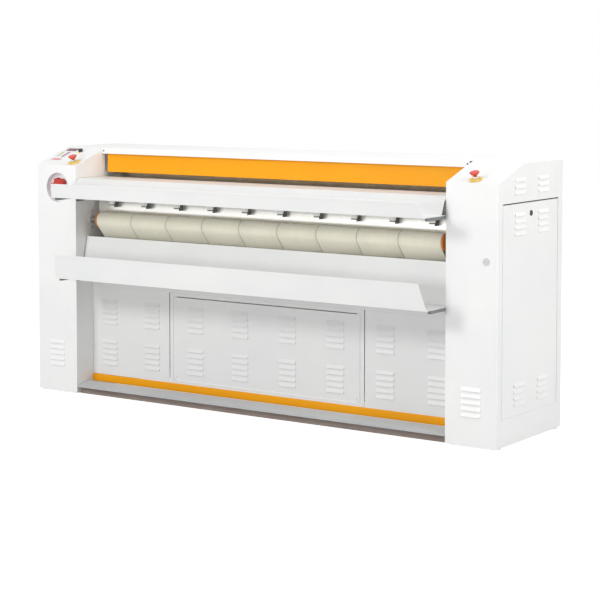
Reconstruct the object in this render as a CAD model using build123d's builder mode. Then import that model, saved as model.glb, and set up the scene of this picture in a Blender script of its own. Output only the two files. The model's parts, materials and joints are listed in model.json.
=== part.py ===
from build123d import *
import os
from math import acos, atan2, cos, degrees, hypot, pi, radians, sin, tan

# A flatwork ironer, in millimetres: +X to the right, +Y to the back, +Z up. The origin is on the
# floor, in the middle of the whole machine.

# ---- Driving dimensions: casing ----------------------------------------------------------------
opening_width = 2118        # clear width between the two columns
column_width = 254
column_depth = 611
top_height = 1227
front_height = top_height - 82      # top of a column's upright front
control_slope = 18.9        # degrees, the sloping control surface
floor_clearance = 6         # under the covers and side plates
sheet = 2                   # casing sheet
side_plate = 8              # structural plates that carry the rollers
seam = 0.5                  # between fixed casing pieces
door_gap = 2.5              # beside a door
door_seat_gap = 0.3         # below a side door, which stands on its lower edge
door_top_gap = 6
running_gap = 0.05          # round a shaft in its bearing
fit_gap = 0.1               # round a fixed pin in its hole
soft_gap = 0.3              # between cloth and what it wraps

door_bottom = 124           # the side door's opening
door_top = front_height - 90
door_front_margin = 42
door_back_margin = 45
door_return = 15            # folded edges of the side door
latch_lip = 20              # fold above the door that the lock grips
lock_drop = 53              # from the opening's top to the lock
lock_radius = 12.5
lock_body_radius = 10.5
lock_slot = (16, 3)
lock_cam_length = 68
lock_cam_width = 16

louver_width = 95
louver_height = 16
louver_depth = 6
louver_pitch = 28
side_louver_depths = (200, column_depth - 191)      # behind the columns' front
cover_side_louvers = top_height - 101       # the middle height of a group of louvers
door_louvers = (door_top - 93, door_bottom + 94)
cover_front_louvers = 198

# ---- Driving dimensions: top cover and guard -----------------------------------------------------
top_cover_setback = 205     # from the columns' front to the top cover's flange
top_flange_height = 29
cover_screw_inset = 9       # from the cover's ends
cover_screw_radius = 4
guard_setback = 225
guard_bottom = top_height - 122
guard_height = 100
guard_end_gap = 19
guard_rod_radius = 5

# ---- Driving dimensions: trays -------------------------------------------------------------------
cylinder_height = top_height - 295
tray_end_gap = 4            # between a tray's end and the column
feed_tray_height = cylinder_height + 66
feed_tray_reach = 208       # in front of the columns
feed_tray_bottom_reach = 183
feed_tray_lip_height = 69
feed_tray_bottom_depth = -35
feed_plate_foot_rise = 62   # the steep foot of the plate behind the tray
feed_plate_foot_depth = 26
feed_plate_height = cylinder_height + 150
feed_plate_top_depth = 22
feed_ledge_depth = 208
feed_tray_back_depth = 60
sheet_hem = 8               # folded edges of the feed plate and the apron
lip_hem = 10                # folded down over the front of a tray's lip
feed_tray_end_taper = 21
receiving_tray_height = cylinder_height - 334
receiving_tray_reach = 197
receiving_tray_bottom_reach = 156
receiving_tray_lip_height = 122
receiving_tray_end_taper = 24
apron_height = cylinder_height - 144
apron_top_depth = 81
apron_foot_depth = 38
foot_flange = 14            # where the feed plate and the apron stand on their trays
bracket_sheet = 3
tray_bracket_width = 30
tray_arm = (16, 14)         # width and height of the arms under the trays' ends
tray_arm_setback = 30       # behind the fold at a tray's front

# ---- Driving dimensions: lower front -------------------------------------------------------------
front_panel_setback = 125
kick_bottom = 50
kick_top = 88
front_panel_top = receiving_tray_height - 63
front_rail_height = 27
front_rail_depth = 40
front_louver_places = (138, 406, 676, 947)      # across, from the middle
front_louver_groups = (204, front_panel_top - 125)
kick_return = 10
surround_stile = 16
surround_width = 1126
service_door_width = 1080
service_door_bottom = 107
service_door_top = front_panel_top - 22
service_door_top_gap = 4
panel_screw_radius = 3
panel_screw_inset = 17
foot_bar_front_height = 44
foot_bar_pivot_depth = 80
foot_bar_pivot_height = 52
foot_bar_pivot_radius = 7
foot_bar_pin_radius = 5
foot_bar_lip = 10
foot_bar_sheet = 3
foot_bar_end_gap = 2.5
plinth_front = 30
plinth_depth = 19
plinth_height = 29

# ---- Driving dimensions: cylinder and belts -----------------------------------------------------
cylinder_radius = 165
cylinder_length = 2070
cylinder_wall = 8
cylinder_setback = 314
journal_radius = 38
journal_hole_gap = 2        # where a journal passes through a side plate
journal_bore = 28
belt_thickness = 3
belt_count = 9
belt_pitch = 220
belt_seam = 1.5
belt_roller_radius = 38     # front and feed rollers
guide_roller_radius = 26    # the three rollers at the back and below
front_roller_angle = 197.5  # degrees round the cylinder, from straight back, over the top
feed_roller_angle = 78
back_rollers = column_depth - 59        # behind the columns' front
tension_roller = (292, cylinder_height - 287)       # depth behind the columns' front, height
low_guide_roller = (back_rollers, cylinder_height - 187)
high_guide_roller = (back_rollers, cylinder_height + 118)
roller_wall = 4
roller_end_gap = 67         # from a roller's end to the side plate
roller_shaft_radius = 9
bearing_hub_radius = 20
bearing_hub = 7             # proud of the side plate's inner face
bearing_flange_radius = 50  # behind the side plate
bearing_flange = 8
bearing_screw_offset = 41   # above and below the bearing
bearing_screw_radius = 6.5
bearing_screw_head = 5
end_disc = 6                # orange discs on the front roller
end_disc_proud = 3

# ---- Driving dimensions: strippers ---------------------------------------------------------------
stripper_count = 10
stripper_pitch = 205
stripper_bar_depth = 128
stripper_bar_height = cylinder_height + 56
stripper_bar_radius = 7
stripper_holder_width = 27
stripper_tab_bottom = stripper_bar_height - 37
stripper_tab = 4
stripper_block = 12         # the holder's half width round its bar
stripper_foot = 5           # the finger's foot, below the holder's tab
stripper_foot_length = 18
stripper_web = 4            # the finger's upright plate, at the foot's right
stripper_web_drop = 14      # from the tab to the web's lower edge
stripper_web_tail = 7       # behind the holder's block
stripper_clearance = 0.6    # from a finger to the cylinder

# ---- Driving dimensions: heater, drive, exhaust --------------------------------------------------
carrier_radius = 22
carrier_wall = 3
heater_rod_radius = 8
heater_rod_circle = 105
heater_rod_count = 6
heater_rod_inset = 32       # from the cylinder's end
spider_radius = 122
spider = 4
spider_spacing = 800
carrier_bracket_offset = 75     # outboard of the side plate
carrier_leg_offset = 150
carrier_leg_radius = 8
carrier_bracket_width = 64
carrier_bracket_margin = 15     # beyond the legs
carrier_bracket = 4
main_bearing_radius = 75
main_bearing_hub_radius = 56
main_bearing_flange = 14
main_bearing_length = 30
chain_pitch = 12.7
chain_roller_radius = 3.8
chain_plate = 1.5
chain_gap = 1               # between a sprocket's face and the chain's plates
chain_plate_height = 11
sprocket_width = 6
cylinder_teeth = 60
motor_teeth = 16
tooth_height = 2.8          # above the pitch circle
sprocket_offset = 42        # outboard of the side plate
chain_links = 92            # an even number; it sets how far the motor is below the cylinder
motor_shaft_radius = 14
motor_shaft_length = 20     # from the sprocket to the gearbox
gearbox = (105, 120, 150)   # along X, Y and Z
gearbox_corner = 12
motor_radius = 50
motor_length = 180
motor_shelf = 6
fan_radius = 105
fan_inlet_radius = 50
fan_width = 130
fan_position = 620          # to the right of the middle
fan_height = 300
fan_shaft_radius = 6
fan_leg_height = 44
fan_foot_drop = 10          # from the drum to its foot plate
impeller_radius = 88
impeller_width = 95
impeller_blades = 12
impeller_blade_depth = 22
fan_motor_radius = 50
fan_motor_length = 90
spigot_radius = 60
exhaust_reach = 45          # behind the columns
gland_radius = 14
gland_thread_radius = 11
gland_bore = 8
gland_reach = 22
gland_position = -1180
gland_height = 180

# ---- Driving dimensions: base --------------------------------------------------------------------
base_tube_width = 40
base_tube_height = 40
base_bottom = 14
tube_wall = 3
foot_radius = 22
foot_stem_radius = 6
foot_stem_height = 24       # above the base's underside
foot_nut_radius = 10
foot_inset = 70
tie_tube = 45

# ---- Driving dimensions: controls ----------------------------------------------------------------
stop_disc_radius = 29
stop_disc = 3
stop_neck_radius = 13
stop_neck_height = 15
stop_body_radius = 11
stop_head_radius = 22
stop_cone_height = 9
stop_rim_height = 6
stop_stem_radius = 7
stop_travel = 5
stop_button_gap = 1         # left under the head when it is pressed
stop_body_depth = 30
right_stop = (1185, 39)     # across, depth behind the columns' front
left_stop = (-1100, 42)
control_panel_place = (-1245, 138)
control_panel_size = (84, 170)
control_panel_thickness = 1.5
control_panel_corner = 4
display_size = (66, 32)
display_margin = 8          # from the panel's upper edge
mode_knob_place = (-1177, 181)
mode_knob_radius = 12
mode_knob_height = 12
mode_knob_flutes = 12
mode_knob_flute_radius = 2.5
control_shaft_length = 12   # of the knob and the lamp, below the surface
lamp_place = (-1170, 155)
lamp_radius = 7
lamp_body_radius = 5
lamp_height = 3.5
isolator_place = (-1179, front_height - 112)        # across, height
isolator_dish_radius = 75
isolator_dish_depth = 26
isolator_knob_radius = 48
isolator_knob_depth = 24
isolator_shaft_radius = 6
isolator_shaft_length = 20
isolator_gap = 1            # between the knob and the dish
isolator_flutes = 6
isolator_flute_radius = 13
isolator_flute_angle = 20   # from the first flute to straight across
cap_place = (1258, front_height - 335)
cap_radius = 17
cap_plug_radius = 14
electrics_plate_size = (300, 420)
electrics_plate_place = (194, 515)      # depth behind the columns' front, height
electrics_stand_off = 12
electrics_post_inset = 15
electrics_post_radius = 6
contactor_size = (80, 45, 85)
contactor_gap = 8
contactor_count = 5

# ---- Worked out from the driving dimensions ------------------------------------------------------
inner_x = opening_width / 2
plate_x = inner_x + side_plate
outer_x = inner_x + column_width
front_y = (feed_tray_reach - column_depth - exhaust_reach) / 2
back_y = front_y + column_depth
slope_tan = tan(radians(control_slope))
slope_cos = cos(radians(control_slope))
cylinder_y = front_y + cylinder_setback
cylinder_end = cylinder_length / 2
belt_on_cylinder = cylinder_radius + soft_gap
belt_on_roller = belt_roller_radius + soft_gap
belt_on_guide = guide_roller_radius + soft_gap
roller_distance = belt_on_cylinder + belt_on_roller + belt_thickness
roller_end = inner_x - roller_end_gap
tray_end = inner_x - tray_end_gap
panel_y = front_y + front_panel_setback
sprocket_x = plate_x + sprocket_offset

SIDES = (("left", -1), ("right", 1))


def from_cylinder(angle, distance):
    """The (y, z) place at an angle and a distance from the cylinder's axis."""
    turn = radians(angle)
    return (cylinder_y + distance * cos(turn), cylinder_height + distance * sin(turn))


cylinder_place = (cylinder_y, cylinder_height)
front_roller_place = from_cylinder(front_roller_angle, roller_distance)
feed_roller_place = from_cylinder(feed_roller_angle, roller_distance)
tension_place = (front_y + tension_roller[0], tension_roller[1])
low_guide_place = (front_y + low_guide_roller[0], low_guide_roller[1])
high_guide_place = (front_y + high_guide_roller[0], high_guide_roller[1])
stripper_place = (front_y + stripper_bar_depth, stripper_bar_height)
big_pitch_radius = cylinder_teeth * chain_pitch / (2 * pi)
small_pitch_radius = motor_teeth * chain_pitch / (2 * pi)
half_chain = chain_links * chain_pitch / 2
motor_drop = half_chain
for _ in range(40):         # settles on the distance that the chain's length allows
    flare = acos((big_pitch_radius - small_pitch_radius) / motor_drop)
    straight = half_chain - big_pitch_radius * (pi - flare) - small_pitch_radius * flare
    motor_drop = hypot(straight, big_pitch_radius - small_pitch_radius)
motor_place = (cylinder_y, cylinder_height - motor_drop)
guard_rod_place = (front_y + guard_setback + sheet + guard_rod_radius, guard_bottom + guard_height)
foot_bar_place = (front_y + foot_bar_pivot_depth, foot_bar_pivot_height)

belt_rollers = {
    "front_belt_roller": (front_roller_place, belt_roller_radius),
    "feed_belt_roller": (feed_roller_place, belt_roller_radius),
    "tension_roller": (tension_place, guide_roller_radius),
    "low_guide_roller": (low_guide_place, guide_roller_radius),
    "high_guide_roller": (high_guide_place, guide_roller_radius),
}
bearing_screw_places = [
    (y, z + lift) for (y, z), _ in belt_rollers.values()
    for lift in (-bearing_screw_offset, bearing_screw_offset)
]


# ---- Small tools ---------------------------------------------------------------------------------
def across(x, place=(0, 0)):
    """A plane square to X through a (y, z) place; its own x runs back and its y runs up."""
    return Plane(origin=(x, place[0], place[1]), x_dir=(0, 1, 0), z_dir=(1, 0, 0))


def facing_front(y):
    """A plane that looks to the front: its own x runs along X and its y runs up."""
    return Plane(origin=(0, y, 0), x_dir=(1, 0, 0), z_dir=(0, -1, 0))


def facing_side(sign):
    """A column's outer face: its own y runs up, and its x runs along Y."""
    return Plane(origin=(sign * outer_x, 0, 0), x_dir=(0, sign, 0), z_dir=(sign, 0, 0))


def on_slope(place, lift=0):
    """A plane on the sloping control surface at (x, depth), its own y running up the slope."""
    x, depth = place
    plane = Plane(
        origin=(x, front_y + depth, front_height + depth * slope_tan),
        x_dir=(1, 0, 0),
        z_dir=(0, -sin(radians(control_slope)), slope_cos),
    )
    return plane.offset(lift)


def bar_along_x(start, end, place, radius, bore=0, mode=Mode.ADD):
    """Adds a round bar or tube along X, from one x to another, round a (y, z) place."""
    with BuildSketch(across(start, place)) as section:
        Circle(radius)
        if bore:
            Circle(bore, mode=Mode.SUBTRACT)
    extrude(section.sketch, amount=end - start, mode=mode)


def block(x, y, z, mode=Mode.ADD):
    """Adds a rectangular block; x, y and z are (low, high) pairs."""
    with Locations(((x[0] + x[1]) / 2, (y[0] + y[1]) / 2, (z[0] + z[1]) / 2)):
        Box(abs(x[1] - x[0]), y[1] - y[0], z[1] - z[0], mode=mode)


def square_tube(x, y, z, along, wall=tube_wall):
    """Adds a rectangular tube that is open at both ends along one axis."""
    block(x, y, z)
    inside = {
        name: (pair[0] + wall, pair[1] - wall) if name != along else pair
        for name, pair in {"x": x, "y": y, "z": z}.items()
    }
    block(inside["x"], inside["y"], inside["z"], mode=Mode.SUBTRACT)


def folded_sheet(start, end, points, thickness=sheet, side=Side.LEFT):
    """Adds a sheet folded along X; the points are (y, z) places on one of its faces."""
    with BuildSketch(across(start)) as section:
        with BuildLine():
            Polyline(*points)
            offset(amount=thickness, side=side)
        make_face()
    extrude(section.sketch, amount=end - start)


def column_outline(inset, back, low):
    """The (y, z) corners of a column's side, drawn in by a thickness."""
    drop = inset / slope_cos
    return [
        (front_y + inset, low),
        (front_y + inset, front_height + inset * slope_tan - drop),
        (front_y + (top_height - inset - front_height + drop) / slope_tan, top_height - inset),
        (back, top_height - inset),
        (back, low),
    ]


def louvers(face, columns, groups, count):
    """Presses hooded louvers out of a panel whose outer face is given. The columns and groups are
    the middles of the rows across and up that face, with count louvers in each group."""
    first = -(count - 1) / 2 * louver_pitch
    heights = [group + first + i * louver_pitch for group in groups for i in range(count)]
    half = louver_height / 2
    hood = [(-sheet / 2, half), (0, half), (louver_depth, -half), (-sheet / 2, -half)]
    inside = [(-2 * sheet, half - sheet), (-sheet, half - sheet), (louver_depth - sheet, -half)]
    inside.append((-2 * sheet, -half))
    for column in columns:
        origin = face.from_local_coords((column, 0, 0))
        cross_section = Plane(origin=origin, x_dir=face.z_dir, z_dir=-face.x_dir)
        with BuildSketch(cross_section) as hoods:
            with Locations(*[(0, height) for height in heights]):
                Polygon(*hood, align=None)
        extrude(hoods.sketch, amount=louver_width / 2, both=True)
        with BuildSketch(cross_section) as hollows:
            with Locations(*[(0, height) for height in heights]):
                Polygon(*inside, align=None)
        extrude(hollows.sketch, amount=louver_width / 2 - sheet, both=True, mode=Mode.SUBTRACT)


def save(piece, name):
    """Labels a finished piece and writes it."""
    piece.part.label = name
    export_step(piece.part, f"parts/{name}.step")


os.makedirs("parts", exist_ok=True)


# ---- Base ----------------------------------------------------------------------------------------
base_y = (front_y + sheet, back_y - sheet)
base_z = (base_bottom, base_bottom + base_tube_height)
inner_tube = (plate_x, plate_x + base_tube_width)
outer_tube = (outer_x - sheet - base_tube_width, outer_x - sheet)
foot_places = [
    (sign * sum(tube) / 2, y)
    for sign in (-1, 1)
    for tube in (inner_tube, outer_tube)
    for y in (base_y[0] + foot_inset / 2, base_y[1] - foot_inset / 2)
]

with BuildPart() as base_frames:
    for sign in (-1, 1):
        for tube in (inner_tube, outer_tube):
            square_tube(sorted(sign * x for x in tube), base_y, base_z, along="y")
        between = sorted((sign * inner_tube[1], sign * outer_tube[0]))
        for cross_y in (base_y[0] + foot_inset, base_y[1] - foot_inset - base_tube_width):
            square_tube(between, (cross_y, cross_y + base_tube_width), base_z, along="x")
    with BuildSketch(Plane.XY.offset(base_bottom)):
        with Locations(*foot_places):
            Circle(foot_stem_radius + fit_gap)
    extrude(amount=tube_wall, mode=Mode.SUBTRACT)
save(base_frames, "base_frames")

with BuildPart() as levelling_feet:
    with BuildSketch(Plane.XY):
        with Locations(*foot_places):
            Circle(foot_radius)
    extrude(amount=floor_clearance)
    with BuildSketch(Plane.XY.offset(floor_clearance)):
        with Locations(*foot_places):
            RegularPolygon(foot_nut_radius, 6)
    extrude(amount=base_bottom - floor_clearance)
    with BuildSketch(Plane.XY.offset(base_bottom)):
        with Locations(*foot_places):
            Circle(foot_stem_radius)
    extrude(amount=foot_stem_height)
save(levelling_feet, "levelling_feet")

with BuildPart() as base_plinth:
    plinth_y = (front_y + plinth_front, front_y + plinth_front + plinth_depth)
    block((-inner_x, inner_x), plinth_y, (0, plinth_height))
save(base_plinth, "base_plinth")

with BuildPart() as tie_tubes:
    fan_tie_top = fan_height - fan_radius - fan_foot_drop
    for tie_top in (base_bottom + tie_tube, fan_tie_top, top_height - sheet):
        square_tube((-inner_x, inner_x), (back_y - sheet - tie_tube, back_y - sheet),
                    (tie_top - tie_tube, tie_top), along="x")
save(tie_tubes, "tie_tubes")


# ---- Side plates ---------------------------------------------------------------------------------
with BuildPart() as side_plates:
    for sign in (-1, 1):
        with BuildSketch(across(sign * inner_x)):
            Polygon(*column_outline(sheet, back_y - sheet, floor_clearance), align=None)
            with Locations(cylinder_place):
                Circle(journal_radius + journal_hole_gap, mode=Mode.SUBTRACT)
            with Locations(*[place for place, _ in belt_rollers.values()]):
                Circle(bearing_hub_radius + fit_gap, mode=Mode.SUBTRACT)
            with Locations(*bearing_screw_places):
                Circle(bearing_screw_radius / 2 + fit_gap, mode=Mode.SUBTRACT)
            with Locations(stripper_place):
                Circle(stripper_bar_radius + running_gap, mode=Mode.SUBTRACT)
            with Locations(guard_rod_place):
                Circle(guard_rod_radius + running_gap, mode=Mode.SUBTRACT)
            with Locations(foot_bar_place):
                Circle(foot_bar_pin_radius + running_gap, mode=Mode.SUBTRACT)
        extrude(amount=sign * side_plate)
save(side_plates, "side_plates")


# ---- Column covers -------------------------------------------------------------------------------
opening_y = (front_y + door_front_margin, back_y - door_back_margin)
side_louver_places = [front_y + depth for depth in side_louver_depths]
column_middle = inner_x + column_width / 2

for side, sign in SIDES:
    with BuildPart() as column_cover:
        with BuildSketch(across(sign * inner_x)):
            Polygon(*column_outline(0, back_y, floor_clearance), align=None)
        extrude(amount=sign * column_width)
        outer_face = column_cover.faces().sort_by(Axis.X)[-1 if sign > 0 else 0]
        shown = outer_face.edges().filter_by(lambda edge: edge.center().Y < back_y - sheet)
        fillet(shown.filter_by(lambda edge: edge.center().Z > floor_clearance + sheet), radius=2 * sheet)
        with BuildSketch(across(sign * inner_x)):
            Polygon(*column_outline(sheet, back_y + sheet, 0), align=None)
        extrude(amount=sign * (column_width - sheet), mode=Mode.SUBTRACT)
        wall_x = sorted((sign * (outer_x - 2 * sheet), sign * (outer_x + sheet)))
        block(wall_x, opening_y, (door_bottom, door_top), mode=Mode.SUBTRACT)
        lip_x = sorted((sign * (outer_x - latch_lip), sign * (outer_x - sheet / 2)))
        block(lip_x, opening_y, (door_top, door_top + sheet))
        louvers(facing_side(sign), [sign * y for y in side_louver_places], [cover_side_louvers], 3)
        louvers(facing_front(front_y), [sign * column_middle], [cover_front_louvers], 5)
        if sign > 0:
            with BuildSketch(facing_front(front_y)):
                with Locations(cap_place):
                    Circle(cap_plug_radius + fit_gap)
            extrude(amount=-2 * sheet, mode=Mode.SUBTRACT)
        else:
            with BuildSketch(facing_front(front_y)):
                with Locations(isolator_place):
                    Circle(isolator_dish_radius)
            extrude(amount=-2 * sheet, mode=Mode.SUBTRACT)
        stop = right_stop if sign > 0 else left_stop
        with BuildSketch(on_slope(stop)):
            Circle(stop_body_radius + fit_gap)
        extrude(amount=-2 * sheet, mode=Mode.SUBTRACT)
        if sign < 0:
            with BuildSketch(on_slope(mode_knob_place)):
                Circle(isolator_shaft_radius + running_gap)
            extrude(amount=-2 * sheet, mode=Mode.SUBTRACT)
            with BuildSketch(on_slope(lamp_place)):
                Circle(lamp_body_radius + fit_gap)
            extrude(amount=-2 * sheet, mode=Mode.SUBTRACT)
    save(column_cover, f"column_cover_{side}")


# ---- Side doors and locks ------------------------------------------------------------------------
leaf_y = (opening_y[0] + door_gap, opening_y[1] - door_gap)
leaf_z = (door_bottom + door_seat_gap, door_top - door_top_gap)
lock_y = (opening_y[0] + opening_y[1]) / 2
lock_z = door_top - lock_drop

for side, sign in SIDES:
    with BuildPart() as side_door:
        leaf_x = sorted((sign * (outer_x - door_return), sign * outer_x))
        block(leaf_x, leaf_y, leaf_z)
        outer_face = side_door.faces().sort_by(Axis.X)[-1 if sign > 0 else 0]
        fillet(outer_face.edges(), radius=sheet / 2)
        hollow_x = sorted((sign * (outer_x - door_return - sheet), sign * (outer_x - sheet)))
        hollow_y = (leaf_y[0] + sheet, leaf_y[1] - sheet)
        hollow_z = (leaf_z[0] + sheet, leaf_z[1] - sheet)
        block(hollow_x, hollow_y, hollow_z, mode=Mode.SUBTRACT)
        louvers(facing_side(sign), [sign * y for y in side_louver_places], door_louvers, 4)
        bar_along_x(
            sign * (outer_x - 2 * sheet), sign * (outer_x + sheet), (lock_y, lock_z),
            lock_body_radius + running_gap, mode=Mode.SUBTRACT,
        )
    save(side_door, f"side_door_{side}")

    with BuildPart() as door_lock:
        lock_place = (lock_y, lock_z)
        bar_along_x(sign * outer_x, sign * (outer_x + sheet), lock_place, lock_radius)
        shank_end = outer_x - latch_lip - sheet
        bar_along_x(sign * outer_x, sign * shank_end, lock_place, lock_body_radius)
        cam_x = sorted((sign * (shank_end - sheet), sign * shank_end))
        half_cam = lock_cam_width / 2
        block(cam_x, (lock_y - half_cam, lock_y + lock_cam_length), (lock_z - half_cam, lock_z + half_cam))
        slot_x = sorted((sign * (outer_x + sheet / 2), sign * (outer_x + 2 * sheet)))
        half_slot = (lock_slot[0] / 2, lock_slot[1] / 2)
        block(slot_x, (lock_y - half_slot[0], lock_y + half_slot[0]),
              (lock_z - half_slot[1], lock_z + half_slot[1]), mode=Mode.SUBTRACT)
    save(door_lock, f"door_lock_{side}")


# ---- Rear panel, top cover and guard -------------------------------------------------------------
with BuildPart() as rear_panel:
    block(
        (sheet - outer_x, outer_x - sheet),
        (back_y - sheet, back_y),
        (floor_clearance, top_height - sheet),
    )
    with BuildSketch(facing_front(back_y - 2 * sheet)):
        with Locations((fan_position, fan_height)):
            Circle(spigot_radius + fit_gap)
        with Locations((gland_position, gland_height)):
            Circle(gland_thread_radius + fit_gap)
    extrude(amount=-3 * sheet, mode=Mode.SUBTRACT)
save(rear_panel, "rear_panel")

with BuildPart() as top_cover:
    cover_x = (seam - inner_x, inner_x - seam)
    cover_y = front_y + top_cover_setback
    flange_bottom = top_height - top_flange_height
    block(cover_x, (cover_y, back_y), (top_height - sheet, top_height))
    block(cover_x, (cover_y, cover_y + sheet), (flange_bottom, top_height))
    fillet(top_cover.edges().filter_by(Axis.X).group_by(Axis.Z)[-1].sort_by(Axis.Y)[0], radius=sheet)
    cover_screw_places = [
        (sign * (cover_x[1] - cover_screw_inset), top_height - top_flange_height / 2) for sign in (-1, 1)
    ]
    with BuildSketch(facing_front(cover_y)):
        with Locations(*cover_screw_places):
            Circle(cover_screw_radius / 2 + fit_gap)
    extrude(amount=-2 * sheet, mode=Mode.SUBTRACT)
save(top_cover, "top_cover")

with BuildPart() as finger_guard:
    guard_end = inner_x - guard_end_gap
    guard_y = front_y + guard_setback
    guard_z = (guard_bottom, guard_bottom + guard_height)
    block((-guard_end, guard_end), (guard_y, guard_y + sheet), guard_z)
    bar_along_x(-guard_end, guard_end, guard_rod_place, guard_rod_radius + sheet)
    bar_along_x(-plate_x, plate_x, guard_rod_place, guard_rod_radius)
save(finger_guard, "finger_guard")


# ---- Feed tray, feed plate and their brackets ----------------------------------------------------
def lip_taper(start_y, end_y, low, high, taper):
    """Cuts a tray's two upper front corners away, so that the lip narrows towards its edge."""
    for sign in (-1, 1):
        with BuildSketch(facing_front(start_y)) as corner:
            Polygon(
                (sign * tray_end, low),
                (sign * (tray_end + taper), low),
                (sign * (tray_end + taper), high),
                (sign * (tray_end - taper), high),
                align=None,
            )
        extrude(corner.sketch, amount=start_y - end_y, mode=Mode.SUBTRACT)


def folded_hem(reach, bottom_reach, low, lip_height):
    """Adds the hem that is folded down over the front of a tray's leaning lip."""
    lean = (reach - sheet - bottom_reach) / lip_height
    top = low + lip_height
    with BuildSketch(across(-tray_end)) as hem:
        Polygon(
            (front_y - reach, top),
            (front_y - reach + sheet, top),
            (front_y - reach + sheet + lip_hem * lean, top - lip_hem),
            (front_y - reach + lip_hem * lean, top - lip_hem),
            align=None,
        )
    extrude(hem.sketch, amount=2 * tray_end)


with BuildPart() as feed_tray:
    tray_low = feed_tray_height
    lip_top = feed_tray_height + feed_tray_lip_height
    foot_y = front_y + feed_tray_bottom_depth
    folded_sheet(-tray_end, tray_end, [
        (front_y - feed_tray_reach + sheet, lip_top),
        (front_y - feed_tray_bottom_reach, tray_low),
        (front_y + feed_tray_back_depth, tray_low),
    ])
    folded_hem(feed_tray_reach, feed_tray_bottom_reach, tray_low, feed_tray_lip_height)
    lip_taper(front_y - feed_tray_bottom_reach, front_y - feed_tray_reach - 2 * sheet, tray_low,
              lip_top + 2 * sheet, feed_tray_end_taper)
save(feed_tray, "feed_tray")

with BuildPart() as feed_plate:
    plate_foot = feed_tray_height + sheet
    folded_sheet(-tray_end, tray_end, [
        (foot_y + foot_flange, plate_foot),
        (foot_y, plate_foot),
        (foot_y + feed_plate_foot_depth, plate_foot + feed_plate_foot_rise),
        (front_y + feed_plate_top_depth, feed_plate_height),
        (front_y + feed_ledge_depth, feed_plate_height),
        (front_y + feed_ledge_depth, feed_plate_height - sheet_hem),
    ], side=Side.RIGHT)
save(feed_plate, "feed_plate")


# ---- Strippers -----------------------------------------------------------------------------------
stripper_xs = [(i - (stripper_count - 1) / 2) * stripper_pitch for i in range(stripper_count)]
tab_y = (stripper_place[0] - stripper_block - stripper_tab, stripper_place[0] - stripper_block)

with BuildPart() as stripper_bar:
    bar_along_x(-plate_x, plate_x, stripper_place, stripper_bar_radius)
save(stripper_bar, "stripper_bar")

with BuildPart() as stripper_holders:
    for x in stripper_xs:
        holder_x = (x - stripper_holder_width / 2, x + stripper_holder_width / 2)
        block(holder_x, (tab_y[0], stripper_place[0] + stripper_block),
              (stripper_bar_height - stripper_block, stripper_bar_height + stripper_block))
        block(holder_x, tab_y, (stripper_tab_bottom, stripper_bar_height))
    bar_along_x(-plate_x, plate_x, stripper_place, stripper_bar_radius + fit_gap, mode=Mode.SUBTRACT)
save(stripper_holders, "stripper_holders")


def before_cylinder(z):
    """The (y, z) place at a height where a stripper finger faces the cylinder."""
    reach = cylinder_radius + stripper_clearance
    return (cylinder_y - (reach ** 2 - (z - cylinder_height) ** 2) ** 0.5, z)


with BuildPart() as stripper_fingers:
    foot_z = (stripper_tab_bottom - stripper_foot, stripper_tab_bottom)
    block_bottom = stripper_bar_height - stripper_block
    block_back = stripper_place[0] + stripper_block
    web_bottom = stripper_tab_bottom - stripper_web_drop
    web_top = (block_back + stripper_web_tail, stripper_bar_height + stripper_block / 2)
    for x in stripper_xs:
        finger_x = (x - stripper_holder_width / 2, x + stripper_holder_width / 2)
        block(finger_x, (tab_y[0], tab_y[0] + stripper_foot_length), foot_z)
        with BuildSketch(across(finger_x[1] - stripper_web)) as web:
            with BuildLine():
                ThreePointArc(before_cylinder(block_bottom),
                              before_cylinder((block_bottom + web_bottom) / 2),
                              before_cylinder(web_bottom))
                Polyline(
                    before_cylinder(web_bottom),
                    (tab_y[0] + stripper_foot_length / 2, web_bottom),
                    (block_back - stripper_web, block_bottom),
                    (block_back, block_bottom),
                    (block_back, web_top[1]),
                    web_top,
                    before_cylinder(block_bottom),
                )
            make_face()
        extrude(web.sketch, amount=stripper_web)
save(stripper_fingers, "stripper_fingers")


# ---- Receiving tray and apron --------------------------------------------------------------------
with BuildPart() as receiving_tray:
    lip_top = receiving_tray_height + receiving_tray_lip_height
    folded_sheet(-tray_end, tray_end, [
        (front_y - receiving_tray_reach + sheet, lip_top),
        (front_y - receiving_tray_bottom_reach, receiving_tray_height),
        (panel_y + front_rail_depth / 2, receiving_tray_height),
        (panel_y + front_rail_depth / 2, front_panel_top + front_rail_height),
    ])
    folded_hem(receiving_tray_reach, receiving_tray_bottom_reach, receiving_tray_height,
               receiving_tray_lip_height)
    lip_taper(front_y - receiving_tray_bottom_reach, front_y - receiving_tray_reach - 2 * sheet,
              receiving_tray_height, lip_top + 2 * sheet, receiving_tray_end_taper)
save(receiving_tray, "receiving_tray")

with BuildPart() as apron:
    folded_sheet(-tray_end, tray_end, [
        (front_y + apron_foot_depth + foot_flange, receiving_tray_height + sheet),
        (front_y + apron_foot_depth, receiving_tray_height + sheet),
        (front_y + apron_top_depth, apron_height),
        (front_y + apron_top_depth + sheet_hem, apron_height),
    ], side=Side.RIGHT)
save(apron, "apron")


# ---- Lower front ---------------------------------------------------------------------------------
front_end = inner_x - seam
surround_x = surround_width / 2
kick_z = (kick_bottom, kick_top)
panel_z = (kick_top + seam, front_panel_top)
panel_depth = (panel_y, panel_y + sheet)
half_door = service_door_width / 2

for side, sign in SIDES:
    with BuildPart() as lower_panel:
        panel_x = sorted((sign * (surround_x + 2 * sheet), sign * front_end))
        block(panel_x, panel_depth, panel_z)
        fillet(lower_panel.faces().sort_by(Axis.Y)[0].edges(), radius=sheet / 2)
        louvers(facing_front(panel_y), [sign * x for x in front_louver_places[2:]],
                front_louver_groups, 5)
    save(lower_panel, f"lower_panel_{side}")

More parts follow.
